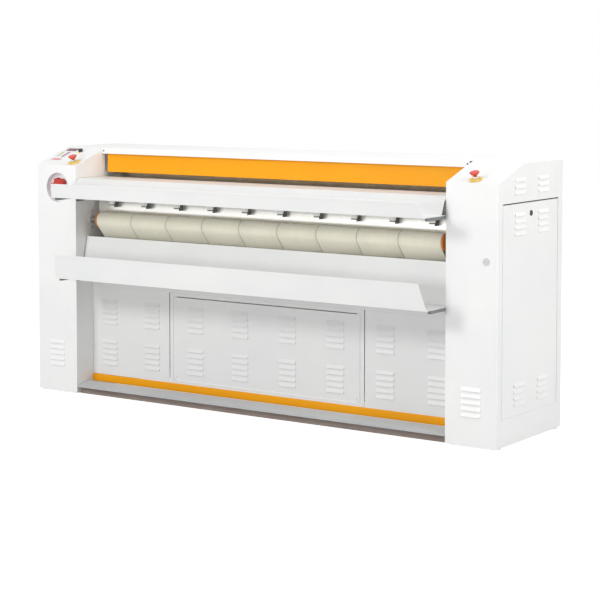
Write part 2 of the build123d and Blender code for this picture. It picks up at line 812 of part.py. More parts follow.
with BuildPart() as door_surround:
    block((-surround_x, surround_x), panel_depth, panel_z)
    fillet(door_surround.faces().sort_by(Axis.Y)[0].edges(), radius=sheet / 2)
    block((-half_door - door_gap, half_door + door_gap), (panel_y - sheet, panel_y + 2 * sheet),
          (service_door_bottom - door_gap, service_door_top + service_door_top_gap),
          mode=Mode.SUBTRACT)
    for sign in (-1, 1):
        stile_x = sorted((sign * (half_door - surround_stile), sign * surround_x))
        block(stile_x, (panel_y + sheet, panel_y + 2 * sheet), panel_z)
save(door_surround, "door_surround")

with BuildPart() as service_door:
    block((-half_door, half_door), panel_depth, (service_door_bottom, service_door_top))
    fillet(service_door.faces().sort_by(Axis.Y)[0].edges(), radius=sheet / 2)
    louvers(facing_front(panel_y), [sign * x for sign in (-1, 1) for x in front_louver_places[:2]],
            front_louver_groups, 5)
    screw_places = [
        (sign * (half_door - panel_screw_inset), z)
        for sign in (-1, 1)
        for z in (service_door_bottom + panel_screw_inset, service_door_top - panel_screw_inset)
    ]
    with BuildSketch(facing_front(panel_y)):
        with Locations(*screw_places):
            Circle(panel_screw_radius / 2 + fit_gap)
    extrude(amount=-2 * sheet, mode=Mode.SUBTRACT)
save(service_door, "service_door")

with BuildPart() as front_rail:
    rail_z = (front_panel_top + seam, front_panel_top + front_rail_height)
    square_tube((-front_end, front_end), (panel_y - sheet, panel_y - sheet + front_rail_depth), rail_z,
                along="x", wall=sheet)
save(front_rail, "front_rail")

with BuildPart() as kick_strip:
    block((-front_end, front_end), (panel_y - sheet, panel_y), kick_z)
    kick_return_z = (kick_bottom, kick_bottom + sheet)
    block((-front_end, front_end), (panel_y, panel_y + kick_return), kick_return_z)
save(kick_strip, "kick_strip")

with BuildPart() as foot_bar:
    bar_end = inner_x - foot_bar_end_gap
    folded_sheet(-bar_end, bar_end, [
        (front_y + foot_bar_sheet, foot_bar_front_height - foot_bar_lip),
        (front_y, foot_bar_front_height),
        (foot_bar_place[0], foot_bar_place[1] + foot_bar_pivot_radius),
    ], thickness=foot_bar_sheet, side=Side.RIGHT)
    bar_along_x(-bar_end, bar_end, foot_bar_place, foot_bar_pivot_radius)
    bar_along_x(-plate_x, plate_x, foot_bar_place, foot_bar_pin_radius)
save(foot_bar, "foot_bar")


# ---- Ironing cylinder ----------------------------------------------------------------------------
with BuildPart() as ironing_cylinder:
    bar_along_x(-cylinder_end, cylinder_end, cylinder_place, cylinder_radius,
                bore=cylinder_radius - cylinder_wall)
    for sign in (-1, 1):
        bar_along_x(sign * (cylinder_end - cylinder_wall), sign * cylinder_end, cylinder_place,
                    cylinder_radius - cylinder_wall / 2, bore=journal_bore)
        bar_along_x(sign * (cylinder_end - cylinder_wall), sign * (sprocket_x + sprocket_width),
                    cylinder_place, journal_radius, bore=journal_bore)
save(ironing_cylinder, "ironing_cylinder")

carrier_end = plate_x + carrier_bracket_offset
with BuildPart() as heater_carrier:
    bar_along_x(-carrier_end, carrier_end, cylinder_place, carrier_radius,
                bore=carrier_radius - carrier_wall)
    for x in (-spider_spacing, 0, spider_spacing):
        with BuildSketch(across(x - spider / 2, cylinder_place)):
            Circle(spider_radius)
            Circle(carrier_radius - carrier_wall, mode=Mode.SUBTRACT)
            with PolarLocations(heater_rod_circle, heater_rod_count):
                Circle(heater_rod_radius + fit_gap, mode=Mode.SUBTRACT)
        extrude(amount=spider)
save(heater_carrier, "heater_carrier")

with BuildPart() as heater_rods:
    rod_end = cylinder_end - heater_rod_inset
    with BuildSketch(across(-rod_end, cylinder_place)):
        with PolarLocations(heater_rod_circle, heater_rod_count):
            Circle(heater_rod_radius)
    extrude(amount=2 * rod_end)
save(heater_rods, "heater_rods")


# ---- Belt rollers and belts ----------------------------------------------------------------------
for roller_name, (place, radius) in belt_rollers.items():
    with BuildPart() as roller:
        bar_along_x(-roller_end, roller_end, place, radius, bore=radius - roller_wall)
        for sign in (-1, 1):
            bar_along_x(sign * (roller_end - 2 * roller_wall), sign * roller_end, place,
                        radius - roller_wall / 2)
            bar_along_x(sign * roller_end, sign * (plate_x + bearing_flange), place,
                        roller_shaft_radius)
    save(roller, roller_name)

with BuildPart() as roller_end_discs:
    for sign in (-1, 1):
        bar_along_x(sign * roller_end, sign * (roller_end + end_disc), front_roller_place,
                    belt_roller_radius + end_disc_proud, bore=roller_shaft_radius + fit_gap)
save(roller_end_discs, "roller_end_discs")

with BuildPart() as bearings:
    for sign in (-1, 1):
        flange_end = sign * (plate_x + main_bearing_flange)
        hub_end = sign * (plate_x + main_bearing_length)
        main_bore = journal_radius + running_gap
        bar_along_x(sign * plate_x, flange_end, cylinder_place, main_bearing_radius, bore=main_bore)
        bar_along_x(sign * plate_x, hub_end, cylinder_place, main_bearing_hub_radius, bore=main_bore)
        for place, _ in belt_rollers.values():
            bore = roller_shaft_radius + running_gap
            bar_along_x(sign * (inner_x - bearing_hub), sign * plate_x, place,
                        bearing_hub_radius, bore=bore)
            bar_along_x(sign * plate_x, sign * (plate_x + bearing_flange), place,
                        bearing_flange_radius, bore=bore)
        with BuildSketch(across(sign * plate_x)) as holes:
            with Locations(*bearing_screw_places):
                Circle(bearing_screw_radius / 2 + fit_gap)
        extrude(holes.sketch, amount=sign * bearing_flange, mode=Mode.SUBTRACT)
save(bearings, "bearings")

belt_stops = [
    (front_roller_place, belt_on_roller),
    (tension_place, belt_on_guide),
    (low_guide_place, belt_on_guide),
    (high_guide_place, belt_on_guide),
    (feed_roller_place, belt_on_roller),
]


def tangent_angle(first, second):
    """The angle of the outward normal where a belt run leaves one roller for the next."""
    (start, start_radius), (end, end_radius) = first, second
    run = (end[0] - start[0], end[1] - start[1])
    lean = degrees(acos((start_radius - end_radius) / hypot(*run)))
    return degrees(atan2(run[1], run[0])) - lean


def point_at(centre, radius, angle):
    return (centre[0] + radius * cos(radians(angle)), centre[1] + radius * sin(radians(angle)))


def belt_loop(lift):
    """Draws the closed path of a belt face that lies a lift above the rollers."""
    normals = [tangent_angle(a, b) for a, b in zip(belt_stops, belt_stops[1:])]
    arrivals = [front_roller_angle - 180, *normals]
    departures = [*normals, feed_roller_angle + 180]
    leave = None
    for (centre, radius), arrive, depart in zip(belt_stops, arrivals, departures):
        wrap = (depart - arrive) % 360
        if leave:
            Line(leave, point_at(centre, radius + lift, arrive))
        CenterArc(centre, radius + lift, arrive, wrap)
        leave = point_at(centre, radius + lift, depart)
    wrap_on_cylinder = (feed_roller_angle - front_roller_angle) % 360
    CenterArc(cylinder_place, belt_on_cylinder + belt_thickness - lift, feed_roller_angle,
              -wrap_on_cylinder)


with BuildPart() as ironing_belts:
    for i in range(belt_count):
        middle = (i - (belt_count - 1) / 2) * belt_pitch
        with BuildSketch(across(middle - (belt_pitch - belt_seam) / 2)):
            with BuildLine():
                belt_loop(belt_thickness)
            make_face()
            with BuildLine():
                belt_loop(0)
            make_face(mode=Mode.SUBTRACT)
        extrude(amount=belt_pitch - belt_seam)
save(ironing_belts, "ironing_belts")


# ---- Drive ---------------------------------------------------------------------------------------
def sprocket(place, teeth, pitch_radius, phase):
    """Adds a chain sprocket; the first of its tooth gaps stands at the phase's angle."""
    gap = chain_roller_radius + soft_gap
    with BuildSketch(across(sprocket_x, place)) as wheel:
        Circle(pitch_radius + tooth_height)
        with PolarLocations(pitch_radius, teeth, start_angle=phase):
            Circle(gap, mode=Mode.SUBTRACT)
            Polygon((0, -gap), (0, gap), (gap, 1.4 * gap), (gap, -1.4 * gap), align=None,
                    mode=Mode.SUBTRACT)
    extrude(wheel.sketch, amount=sprocket_width)


def along_chain(distance):
    """The (y, z) place on the chain's back run, measured from the top of the large sprocket."""
    on_big = big_pitch_radius * (pi - flare)
    if distance <= on_big:
        return point_at(cylinder_place, big_pitch_radius, 90 - degrees(distance / big_pitch_radius))
    leave = point_at(cylinder_place, big_pitch_radius, degrees(flare) - 90)
    arrive = point_at(motor_place, small_pitch_radius, degrees(flare) - 90)
    if distance <= on_big + straight:
        share = (distance - on_big) / straight
        return tuple(a + (b - a) * share for a, b in zip(leave, arrive))
    left = half_chain - distance
    return point_at(motor_place, small_pitch_radius, -90 + degrees(left / small_pitch_radius))


with BuildPart() as cylinder_sprocket:
    sprocket(cylinder_place, cylinder_teeth, big_pitch_radius, 90)
    bar_along_x(sprocket_x, sprocket_x + sprocket_width, cylinder_place, journal_radius + fit_gap,
                mode=Mode.SUBTRACT)
save(cylinder_sprocket, "cylinder_sprocket")

with BuildPart() as motor_sprocket:
    sprocket(motor_place, motor_teeth, small_pitch_radius, 270)
    bar_along_x(sprocket_x - sprocket_width, sprocket_x + motor_shaft_length, motor_place,
                motor_shaft_radius)
save(motor_sprocket, "motor_sprocket")

with BuildPart() as drive_chain:
    plates = (sprocket_x - chain_gap - chain_plate, sprocket_x + sprocket_width + chain_gap)
    half_plate = chain_plate_height / 2
    for x in plates:
        with BuildSketch(across(x)):
            with Locations(cylinder_place):
                Circle(big_pitch_radius + half_plate)
            with Locations(motor_place):
                Circle(small_pitch_radius + half_plate)
            make_hull()
            with BuildSketch(across(x), mode=Mode.SUBTRACT):
                with Locations(cylinder_place):
                    Circle(big_pitch_radius - half_plate)
                with Locations(motor_place):
                    Circle(small_pitch_radius - half_plate)
                make_hull()
        extrude(amount=chain_plate)
    back_run = [along_chain(i * chain_pitch) for i in range(chain_links // 2 + 1)]
    front_run = [(2 * cylinder_y - y, z) for y, z in back_run[1:-1]]
    with BuildSketch(across(plates[0])):
        with Locations(*back_run, *front_run):
            Circle(chain_roller_radius)
    extrude(amount=plates[1] + chain_plate - plates[0])
save(drive_chain, "drive_chain")

gearbox_x = (sprocket_x + motor_shaft_length, sprocket_x + motor_shaft_length + gearbox[0])
gearbox_y = (motor_place[0] - gearbox[1] / 2, motor_place[0] + gearbox[1] / 2)
gearbox_z = (motor_place[1] - gearbox[2] / 2, motor_place[1] + gearbox[2] / 2)
with BuildPart() as gearmotor:
    block(gearbox_x, gearbox_y, gearbox_z)
    fillet(gearmotor.edges().filter_by(Axis.X), radius=gearbox_corner)
    with BuildSketch(Plane(origin=(sum(gearbox_x) / 2, gearbox_y[1], motor_place[1]),
                           x_dir=(1, 0, 0), z_dir=(0, 1, 0))):
        Circle(motor_radius)
    extrude(amount=motor_length)
save(gearmotor, "gearmotor")


# ---- Brackets on the side plates -----------------------------------------------------------------
with BuildPart() as brackets:
    for sign in (-1, 1):
        upright = sorted((sign * (inner_x - bracket_sheet), sign * inner_x))
        shelf = sorted((sign * (inner_x - tray_bracket_width), sign * inner_x))
        arm = sorted((sign * (inner_x - tray_arm[0]), sign * inner_x))
        for height, front, length in (
            (feed_tray_height, feed_tray_bottom_reach, feed_tray_back_depth),
            (receiving_tray_height, receiving_tray_bottom_reach, apron_foot_depth),
        ):
            leg_y = (front_y + sheet, front_y + length)
            block(upright, leg_y, (height - tray_bracket_width, height))
            block(shelf, leg_y, (height - bracket_sheet, height))
            block(arm, (front_y - front + tray_arm_setback, leg_y[1]), (height - tray_arm[1], height))
        with BuildSketch(across(sign * carrier_end, cylinder_place)):
            Rectangle(carrier_bracket_width, 2 * (carrier_leg_offset + carrier_bracket_margin))
            Circle(carrier_radius - carrier_wall, mode=Mode.SUBTRACT)
        extrude(amount=sign * carrier_bracket)
        for leg in (-carrier_leg_offset, carrier_leg_offset):
            bar_along_x(sign * plate_x, sign * carrier_end, (cylinder_y, cylinder_height + leg),
                        carrier_leg_radius)
    shelf_z = (gearbox_z[0] - motor_shelf, gearbox_z[0])
    block((plate_x, gearbox_x[1]), gearbox_y, shelf_z)
    block((plate_x, plate_x + motor_shelf), gearbox_y, (shelf_z[0] - gearbox[1] / 2, shelf_z[1]))
save(brackets, "brackets")


# ---- Exhaust fan ---------------------------------------------------------------------------------
fan_y = back_y - sheet - fan_radius - 3 * sheet
fan_place = (fan_y, fan_height)
fan_x = (fan_position - fan_width / 2, fan_position + fan_width / 2)
spigot_plane = Plane(origin=(fan_position, fan_y, fan_height), x_dir=(1, 0, 0), z_dir=(0, 1, 0))
with BuildPart() as fan_housing:
    spigot_reach = back_y + exhaust_reach - fan_y
    bar_along_x(fan_x[0], fan_x[1], fan_place, fan_radius)
    with BuildSketch(spigot_plane):
        Circle(spigot_radius - sheet)
    extrude(amount=spigot_reach)
    with BuildSketch(spigot_plane.offset(back_y - fan_y)):
        Circle(spigot_radius)
    extrude(amount=exhaust_reach)
    foot_y = (fan_y - fan_radius / 3, back_y - sheet)
    block(fan_x, foot_y, (fan_tie_top, fan_tie_top + sheet))
    leg_y = (foot_y[0], fan_y + fan_radius / 3)
    for x in (fan_x[0], fan_x[1] - sheet):
        block((x, x + sheet), leg_y, (fan_tie_top, fan_tie_top + fan_leg_height))
    bar_along_x(fan_x[0] + sheet, fan_x[1] - sheet, fan_place, fan_radius - sheet, mode=Mode.SUBTRACT)
    with BuildSketch(spigot_plane):
        Circle(spigot_radius - 2 * sheet)
    extrude(amount=spigot_reach, mode=Mode.SUBTRACT)
    bar_along_x(fan_x[0] - sheet, fan_x[0] + 2 * sheet, fan_place, fan_inlet_radius,
                mode=Mode.SUBTRACT)
    bar_along_x(fan_x[1] - 2 * sheet, fan_x[1] + sheet, fan_place, fan_shaft_radius + 1,
                mode=Mode.SUBTRACT)
save(fan_housing, "fan_housing")

with BuildPart() as fan_impeller:
    wheel_x = (fan_position - impeller_width / 2, fan_position + impeller_width / 2)
    bar_along_x(wheel_x[1] - sheet, wheel_x[1], fan_place, impeller_radius)
    bar_along_x(wheel_x[0], wheel_x[0] + sheet, fan_place, impeller_radius,
                bore=impeller_radius - impeller_blade_depth)
    with BuildSketch(across(wheel_x[0], fan_place)):
        with PolarLocations(impeller_radius - impeller_blade_depth / 2, impeller_blades):
            Rectangle(impeller_blade_depth - sheet, sheet)
    extrude(amount=impeller_width)
    bar_along_x(wheel_x[1] - sheet, fan_x[1] + 2 * sheet, fan_place, fan_shaft_radius)
save(fan_impeller, "fan_impeller")

with BuildPart() as fan_motor:
    bar_along_x(fan_x[1], fan_x[1] + fan_motor_length, fan_place, fan_motor_radius)
    bar_along_x(fan_x[1] - sheet, fan_x[1] + 3 * sheet, fan_place, fan_shaft_radius + running_gap,
                mode=Mode.SUBTRACT)
save(fan_motor, "fan_motor")

gland_plane = Plane(origin=(gland_position, back_y, gland_height), x_dir=(1, 0, 0), z_dir=(0, 1, 0))
with BuildPart() as cable_gland:
    with BuildSketch(gland_plane):
        RegularPolygon(gland_radius, 6)
    extrude(amount=gland_reach / 2)
    with BuildSketch(gland_plane.offset(gland_reach / 2)):
        Circle(gland_thread_radius)
    extrude(amount=gland_reach / 2)
    with BuildSketch(gland_plane.offset(-3 * sheet)):
        Circle(gland_thread_radius)
    extrude(amount=3 * sheet)
    with BuildSketch(gland_plane.offset(-3 * sheet)):
        Circle(gland_bore)
    extrude(amount=gland_reach + 3 * sheet, mode=Mode.SUBTRACT)
save(cable_gland, "cable_gland")


# ---- Electrics in the left column ----------------------------------------------------------------
electrics_y = front_y + electrics_plate_place[0]
electrics_z = electrics_plate_place[1]
electrics_face = plate_x + electrics_stand_off
with BuildPart() as electrics_plate:
    half_y, half_z = electrics_plate_size[0] / 2, electrics_plate_size[1] / 2
    block((-electrics_face - sheet, -electrics_face), (electrics_y - half_y, electrics_y + half_y),
          (electrics_z - half_z, electrics_z + half_z))
    post_y, post_z = half_y - electrics_post_inset, half_z - electrics_post_inset
    for y in (electrics_y - post_y, electrics_y + post_y):
        for z in (electrics_z - post_z, electrics_z + post_z):
            bar_along_x(-electrics_face, -plate_x, (y, z), electrics_post_radius)
save(electrics_plate, "electrics_plate")

with BuildPart() as contactors:
    depth, wide, tall = contactor_size
    contactor_x = (-electrics_face - sheet - depth, -electrics_face - sheet)
    for i in range(contactor_count):
        y = electrics_y + (i - (contactor_count - 1) / 2) * (wide + contactor_gap)
        block(contactor_x, (y - wide / 2, y + wide / 2), (electrics_z - tall / 2, electrics_z + tall / 2))
save(contactors, "contactors")


# ---- Emergency stops -----------------------------------------------------------------------------
with BuildPart() as stop_bases:
    for place in (left_stop, right_stop):
        with BuildSketch(on_slope(place)):
            Circle(stop_disc_radius)
            Circle(stop_stem_radius + running_gap, mode=Mode.SUBTRACT)
        extrude(amount=stop_disc)
        with BuildSketch(on_slope(place, stop_disc)):
            Circle(stop_neck_radius)
            Circle(stop_stem_radius + running_gap, mode=Mode.SUBTRACT)
        extrude(amount=stop_neck_height - stop_disc)
        with BuildSketch(on_slope(place)):
            Circle(stop_body_radius)
            Circle(stop_stem_radius + running_gap, mode=Mode.SUBTRACT)
        extrude(amount=-stop_body_depth)
save(stop_bases, "stop_bases")

for side, place in (("left", left_stop), ("right", right_stop)):
    with BuildPart() as stop_button:
        head_lift = stop_neck_height + stop_travel + stop_button_gap
        with BuildSketch(on_slope(place, head_lift)):
            Circle(stop_neck_radius)
        with BuildSketch(on_slope(place, head_lift + stop_cone_height)):
            Circle(stop_head_radius)
        loft()
        with BuildSketch(on_slope(place, head_lift + stop_cone_height)):
            Circle(stop_head_radius)
        extrude(amount=stop_rim_height)
        fillet(stop_button.edges().group_by(Axis((0, 0, 0), on_slope(place).z_dir))[-1],
               radius=stop_rim_height / 3)
        with BuildSketch(on_slope(place, head_lift)):
            Circle(stop_stem_radius)
        extrude(amount=-(head_lift + stop_body_depth / 2))
    save(stop_button, f"stop_button_{side}")


# ---- Control panel, knob and lamp ----------------------------------------------------------------
with BuildPart() as control_panel:
    with BuildSketch(on_slope(control_panel_place)):
        RectangleRounded(*control_panel_size, radius=control_panel_corner)
    extrude(amount=control_panel_thickness)
    with BuildSketch(on_slope(control_panel_place, control_panel_thickness)):
        with Locations((0, (control_panel_size[1] - display_size[1]) / 2 - display_margin)):
            Rectangle(*display_size)
    extrude(amount=-control_panel_thickness / 2, mode=Mode.SUBTRACT)
save(control_panel, "control_panel")

with BuildPart() as mode_knob:
    with BuildSketch(on_slope(mode_knob_place, soft_gap)):
        Circle(mode_knob_radius)
        with PolarLocations(mode_knob_radius + mode_knob_flute_radius / 2, mode_knob_flutes):
            Circle(mode_knob_flute_radius, mode=Mode.SUBTRACT)
    extrude(amount=mode_knob_height)
    with BuildSketch(on_slope(mode_knob_place, soft_gap)):
        Circle(isolator_shaft_radius)
    extrude(amount=-control_shaft_length)
save(mode_knob, "mode_knob")

with BuildPart() as pilot_lamp:
    with BuildSketch(on_slope(lamp_place)):
        Circle(lamp_radius)
    extrude(amount=lamp_height)
    fillet(pilot_lamp.edges().group_by(Axis((0, 0, 0), on_slope(lamp_place).z_dir))[-1],
           radius=lamp_height / 2)
    with BuildSketch(on_slope(lamp_place)):
        Circle(lamp_body_radius)
    extrude(amount=-control_shaft_length)
save(pilot_lamp, "pilot_lamp")


# ---- Isolator in the left column's front ---------------------------------------------------------
with BuildPart() as isolator_dish:
    with BuildSketch(facing_front(front_y)):
        with Locations(isolator_place):
            Circle(isolator_dish_radius - fit_gap)
            Circle(isolator_dish_radius - fit_gap - sheet, mode=Mode.SUBTRACT)
    extrude(amount=-isolator_dish_depth)
    with BuildSketch(facing_front(front_y + isolator_dish_depth)):
        with Locations(isolator_place):
            Circle(isolator_dish_radius - fit_gap)
            Circle(isolator_shaft_radius + running_gap, mode=Mode.SUBTRACT)
    extrude(amount=-sheet)
save(isolator_dish, "isolator_dish")

with BuildPart() as isolator_knob:
    knob_back = facing_front(front_y + isolator_dish_depth - isolator_gap)
    with BuildSketch(knob_back):
        with Locations(isolator_place):
            Circle(isolator_knob_radius)
            with PolarLocations(isolator_knob_radius + sheet, isolator_flutes,
                                start_angle=isolator_flute_angle):
                Circle(isolator_flute_radius, mode=Mode.SUBTRACT)
    extrude(amount=isolator_knob_depth)
    fillet(isolator_knob.faces().sort_by(Axis.Y)[0].edges(), radius=sheet)
    with BuildSketch(knob_back):
        with Locations(isolator_place):
            Circle(isolator_shaft_radius)
    extrude(amount=-isolator_shaft_length)
save(isolator_knob, "isolator_knob")

with BuildPart() as crank_hole_cap:
    with BuildSketch(facing_front(front_y)):
        with Locations(cap_place):
            Circle(cap_radius)
    extrude(amount=sheet)
    fillet(crank_hole_cap.faces().sort_by(Axis.Y)[0].edges(), radius=sheet / 2)
    with BuildSketch(facing_front(front_y)):
        with Locations(cap_place):
            Circle(cap_plug_radius)
    extrude(amount=-3 * sheet)
save(crank_hole_cap, "crank_hole_cap")


# ---- Screws ---------------------------------------------------------------------------------------
with BuildPart() as screws:
    for face, places, radius in ((facing_front(panel_y), screw_places, panel_screw_radius),
                                 (facing_front(cover_y), cover_screw_places, cover_screw_radius)):
        with BuildSketch(face):
            with Locations(*places):
                Circle(radius)
        extrude(amount=sheet / 2)
        with BuildSketch(face):
            with Locations(*places):
                Circle(radius / 2)
        extrude(amount=-sheet)
    for sign in (-1, 1):
        with BuildSketch(across(sign * inner_x)) as heads:
            with Locations(*bearing_screw_places):
                Circle(bearing_screw_radius)
        extrude(heads.sketch, amount=-sign * bearing_screw_head)
        with BuildSketch(across(sign * inner_x)) as stems:
            with Locations(*bearing_screw_places):
                Circle(bearing_screw_radius / 2)
        extrude(stems.sketch, amount=sign * (side_plate + bearing_flange))
save(screws, "screws")
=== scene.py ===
import json
from math import acos, atan2, cos, hypot, pi, radians, sin, tan

import bmesh
import bpy
from mathutils import Matrix, Vector


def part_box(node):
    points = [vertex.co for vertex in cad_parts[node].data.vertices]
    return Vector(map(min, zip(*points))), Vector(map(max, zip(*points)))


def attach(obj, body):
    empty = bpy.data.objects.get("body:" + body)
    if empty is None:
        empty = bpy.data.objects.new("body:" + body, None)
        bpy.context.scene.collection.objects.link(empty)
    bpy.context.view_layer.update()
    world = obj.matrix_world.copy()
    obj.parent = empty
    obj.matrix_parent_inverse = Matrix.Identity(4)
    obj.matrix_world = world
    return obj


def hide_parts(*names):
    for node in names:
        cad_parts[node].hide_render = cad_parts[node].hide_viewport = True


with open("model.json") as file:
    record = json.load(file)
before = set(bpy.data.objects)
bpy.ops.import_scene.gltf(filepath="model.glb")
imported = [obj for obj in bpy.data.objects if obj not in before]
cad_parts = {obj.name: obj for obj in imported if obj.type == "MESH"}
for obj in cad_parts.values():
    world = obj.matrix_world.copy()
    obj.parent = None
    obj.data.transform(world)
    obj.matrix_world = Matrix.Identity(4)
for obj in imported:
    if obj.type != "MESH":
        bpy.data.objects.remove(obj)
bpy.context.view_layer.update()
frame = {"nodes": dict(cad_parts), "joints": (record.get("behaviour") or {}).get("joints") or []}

# ---- Base frames and tie tubes -------------------------------------------------------------------
# Square tubes under each column and three tubes from side plate to side plate behind. Hot-dip
# galvanised steel, cut, welded and bolted to the side plates.


def linear(code):
    """A linear colour from an sRGB hex value."""
    shares = [int(code[i:i + 2], 16) / 255 for i in (1, 3, 5)]
    return (*[((s + 0.055) / 1.055) ** 2.4 if s > 0.04045 else s / 12.92 for s in shares], 1.0)


def add_node(tree, kind, inputs=None, **settings):
    """Adds one node; an input's value is a number, a colour or another node's output."""
    node = tree.nodes.new(kind)
    for name, value in settings.items():
        setattr(node, name, value)
    for key, value in (inputs or {}).items():
        if isinstance(value, bpy.types.NodeSocket):
            tree.links.new(value, node.inputs[key])
        else:
            node.inputs[key].default_value = value
    return node


def new_material(name, **values):
    """Returns a node material, its tree, its Principled surface and the piece's own places."""
    material = bpy.data.materials.new(name)
    material.use_nodes = True
    tree = material.node_tree
    tree.nodes.clear()
    surface = add_node(tree, "ShaderNodeBsdfPrincipled")
    for key, value in values.items():
        surface.inputs[key.replace("_", " ")].default_value = value
    add_node(tree, "ShaderNodeOutputMaterial", {"Surface": surface.outputs[0]})
    place = add_node(tree, "ShaderNodeTexCoord").outputs["Object"]
    return material, tree, surface, place


def vary(tree, surface, colour=None, roughness=None, relief=None, tones_at=(0.3, 0.7)):
    """Lets a surface follow patterns, each given first: two tones, two roughnesses, a depth."""
    if colour:
        pattern, *tones = colour
        ramp = add_node(tree, "ShaderNodeValToRGB", {"Fac": pattern})
        for stop, value, tone in zip(ramp.color_ramp.elements, tones_at, tones):
            stop.position = value
            stop.color = linear(tone)
        tree.links.new(ramp.outputs["Color"], surface.inputs["Base Color"])
    if roughness:
        pattern, least, most = roughness
        spread = add_node(tree, "ShaderNodeMapRange",
                          {"Value": pattern, "To Min": least, "To Max": most})
        tree.links.new(spread.outputs["Result"], surface.inputs["Roughness"])
    if relief:
        pattern, depth = relief
        bump = add_node(tree, "ShaderNodeBump",
                        {"Height": pattern, "Distance": depth, "Strength": 1.0})
        tree.links.new(bump.outputs["Normal"], surface.inputs["Normal"])


def dress(material, *names):
    """Gives CAD nodes or pieces their finish."""
    for name in names:
        piece = frame["nodes"].get(name) or bpy.data.objects[name]
        piece.data.materials.clear()
        piece.data.materials.append(material)


def galvanised_steel():
    """Zinc crystals 10 mm across, each with its own grey and gloss."""
    crystal = 0.010
    material, tree, surface, place = new_material("galvanised_steel", Metallic=1.0)
    cells = add_node(tree, "ShaderNodeTexVoronoi", {"Vector": place, "Scale": 1 / crystal})
    grey = add_node(tree, "ShaderNodeSeparateColor", {"Color": cells.outputs["Color"]})
    vary(tree, surface, colour=(grey.outputs["Red"], "#A9AEB1", "#C6CACC"), tones_at=(0.1, 0.9),
         roughness=(grey.outputs["Green"], 0.34, 0.52), relief=(cells.outputs["Distance"], 0.00004))
    return material


zinc = galvanised_steel()
dress(zinc, "base_frames", "tie_tubes")

# ---- Levelling feet ------------------------------------------------------------------------------
# Turned pads on threaded stems, with a hexagon to set the height. Bright zinc-plated steel,
# screwed up into the tubes.


def zinc_plated_steel():
    """Smooth and slightly blue, with fine turning marks 0.4 mm apart, drawn 1.2 mm apart."""
    mark = 0.0012
    material, tree, surface, place = new_material("zinc_plated_steel", Metallic=1.0)
    marks = add_node(tree, "ShaderNodeTexNoise",
                     {"Vector": place, "Scale": 1 / mark, "Detail": 2.0}).outputs["Fac"]
    vary(tree, surface, colour=(marks, "#B9BDC2", "#D3D7DA"), roughness=(marks, 0.22, 0.36),
         relief=(marks, 0.00002))
    return material


plating = zinc_plated_steel()
dress(plating, "levelling_feet")

# ---- Base strip ----------------------------------------------------------------------------------
# A flat bar that closes the gap below the foot bar, between the columns. Steel, scuffed by shoes
# and mops; its dull brown is painted shade, standing in for the shaded floor under the foot bar.


def painted_shade_brown():
    """Dull brown as painted shade of the floor below, with dusty scuffs 120 mm by 15 mm that
    lighten it.
    """
    scuff = 0.030
    material, tree, surface, place = new_material("painted_shade_brown", IOR=1.5)
    drawn = add_node(tree, "ShaderNodeMapping", {"Vector": place, "Scale": (0.25, 1.0, 2.0)})
    scuffs = add_node(tree, "ShaderNodeTexNoise",
                      {"Vector": drawn.outputs["Vector"], "Scale": 1 / scuff, "Detail": 8.0,
                       "Roughness": 0.65}).outputs["Fac"]
    vary(tree, surface, colour=(scuffs, "#7F706A", "#978981"), tones_at=(0.35, 0.7),
         roughness=(scuffs, 0.55, 0.8), relief=(scuffs, 0.00005))
    return material


dress(painted_shade_brown(), "base_plinth")

# ---- White casing --------------------------------------------------------------------------------
# Side plates, column covers with their doors, top cover, rear panel and both trays. Folded steel
# sheet, powder coated white and baked; the louvers are pressed out of the sheet.


def powder_coat(name, low, high, roughness, ior=1.5):
    """Baked powder: smooth, with orange peel 2.5 mm across and broad clouds of film thickness."""
    peel = 0.0025
    cloud = 0.35
    material, tree, surface, place = new_material(name, IOR=ior, Coat_Weight=0.06,
                                                  Coat_Roughness=0.3)
    clouds = add_node(tree, "ShaderNodeTexNoise",
                      {"Vector": place, "Scale": 1 / cloud, "Detail": 5.0,
                       "Roughness": 0.6}).outputs["Fac"]
    skin = add_node(tree, "ShaderNodeTexNoise", {"Vector": place, "Scale": 1 / peel, "Detail": 1.0})
    vary(tree, surface, colour=(clouds, low, high),
         roughness=(clouds, roughness - 0.05, roughness + 0.08),
         relief=(skin.outputs["Fac"], 0.00004))
    return material


white_powder = powder_coat("white_powder_coat", "#ECEDED", "#F3F3F1", 0.44)
dress(white_powder, "side_plates", "column_cover_left", "column_cover_right", "side_door_left",
      "side_door_right", "top_cover", "rear_panel", "feed_tray", "receiving_tray")

# ---- Inner sheets --------------------------------------------------------------------------------
# The plate behind the feed tray, the apron under the rollers and the panels, rail and service door
# of the lower front. Folded steel sheet, powder coated and screwed to the brackets; its pale grey,
# darker than the white casing, is painted shade for the recess behind and under the trays.
recess_shade_powder = powder_coat("recess_shade_grey_coat", "#DBDCDC", "#E1E1DF", 0.44)
dress(recess_shade_powder, "feed_plate", "apron", "front_rail", "lower_panel_left", "lower_panel_right",
      "door_surround", "service_door")

# ---- Finger guard, kick strip and roller discs ---------------------------------------------------
# The flap that stops the cylinder when fingers lift it, the strip over the foot bar, and the discs
# that keep linen off the roller's ends. Sheet steel, powder coated orange, the discs a redder one.
dress(powder_coat("orange_powder_coat", "#F0A000", "#F4A602", 0.46, ior=1.36),
      "finger_guard", "kick_strip")
dress(powder_coat("red_orange_powder_coat", "#E4822C", "#E88A33", 0.46, ior=1.4),
      "roller_end_discs")

# ---- Foot bar ------------------------------------------------------------------------------------
# A folded bar across the whole front that stops the machine when it is trodden on. Sheet steel in
# satin grey powder coat.
dress(powder_coat("grey_powder_coat", "#B8BBBC", "#C4C6C7", 0.42), "foot_bar")
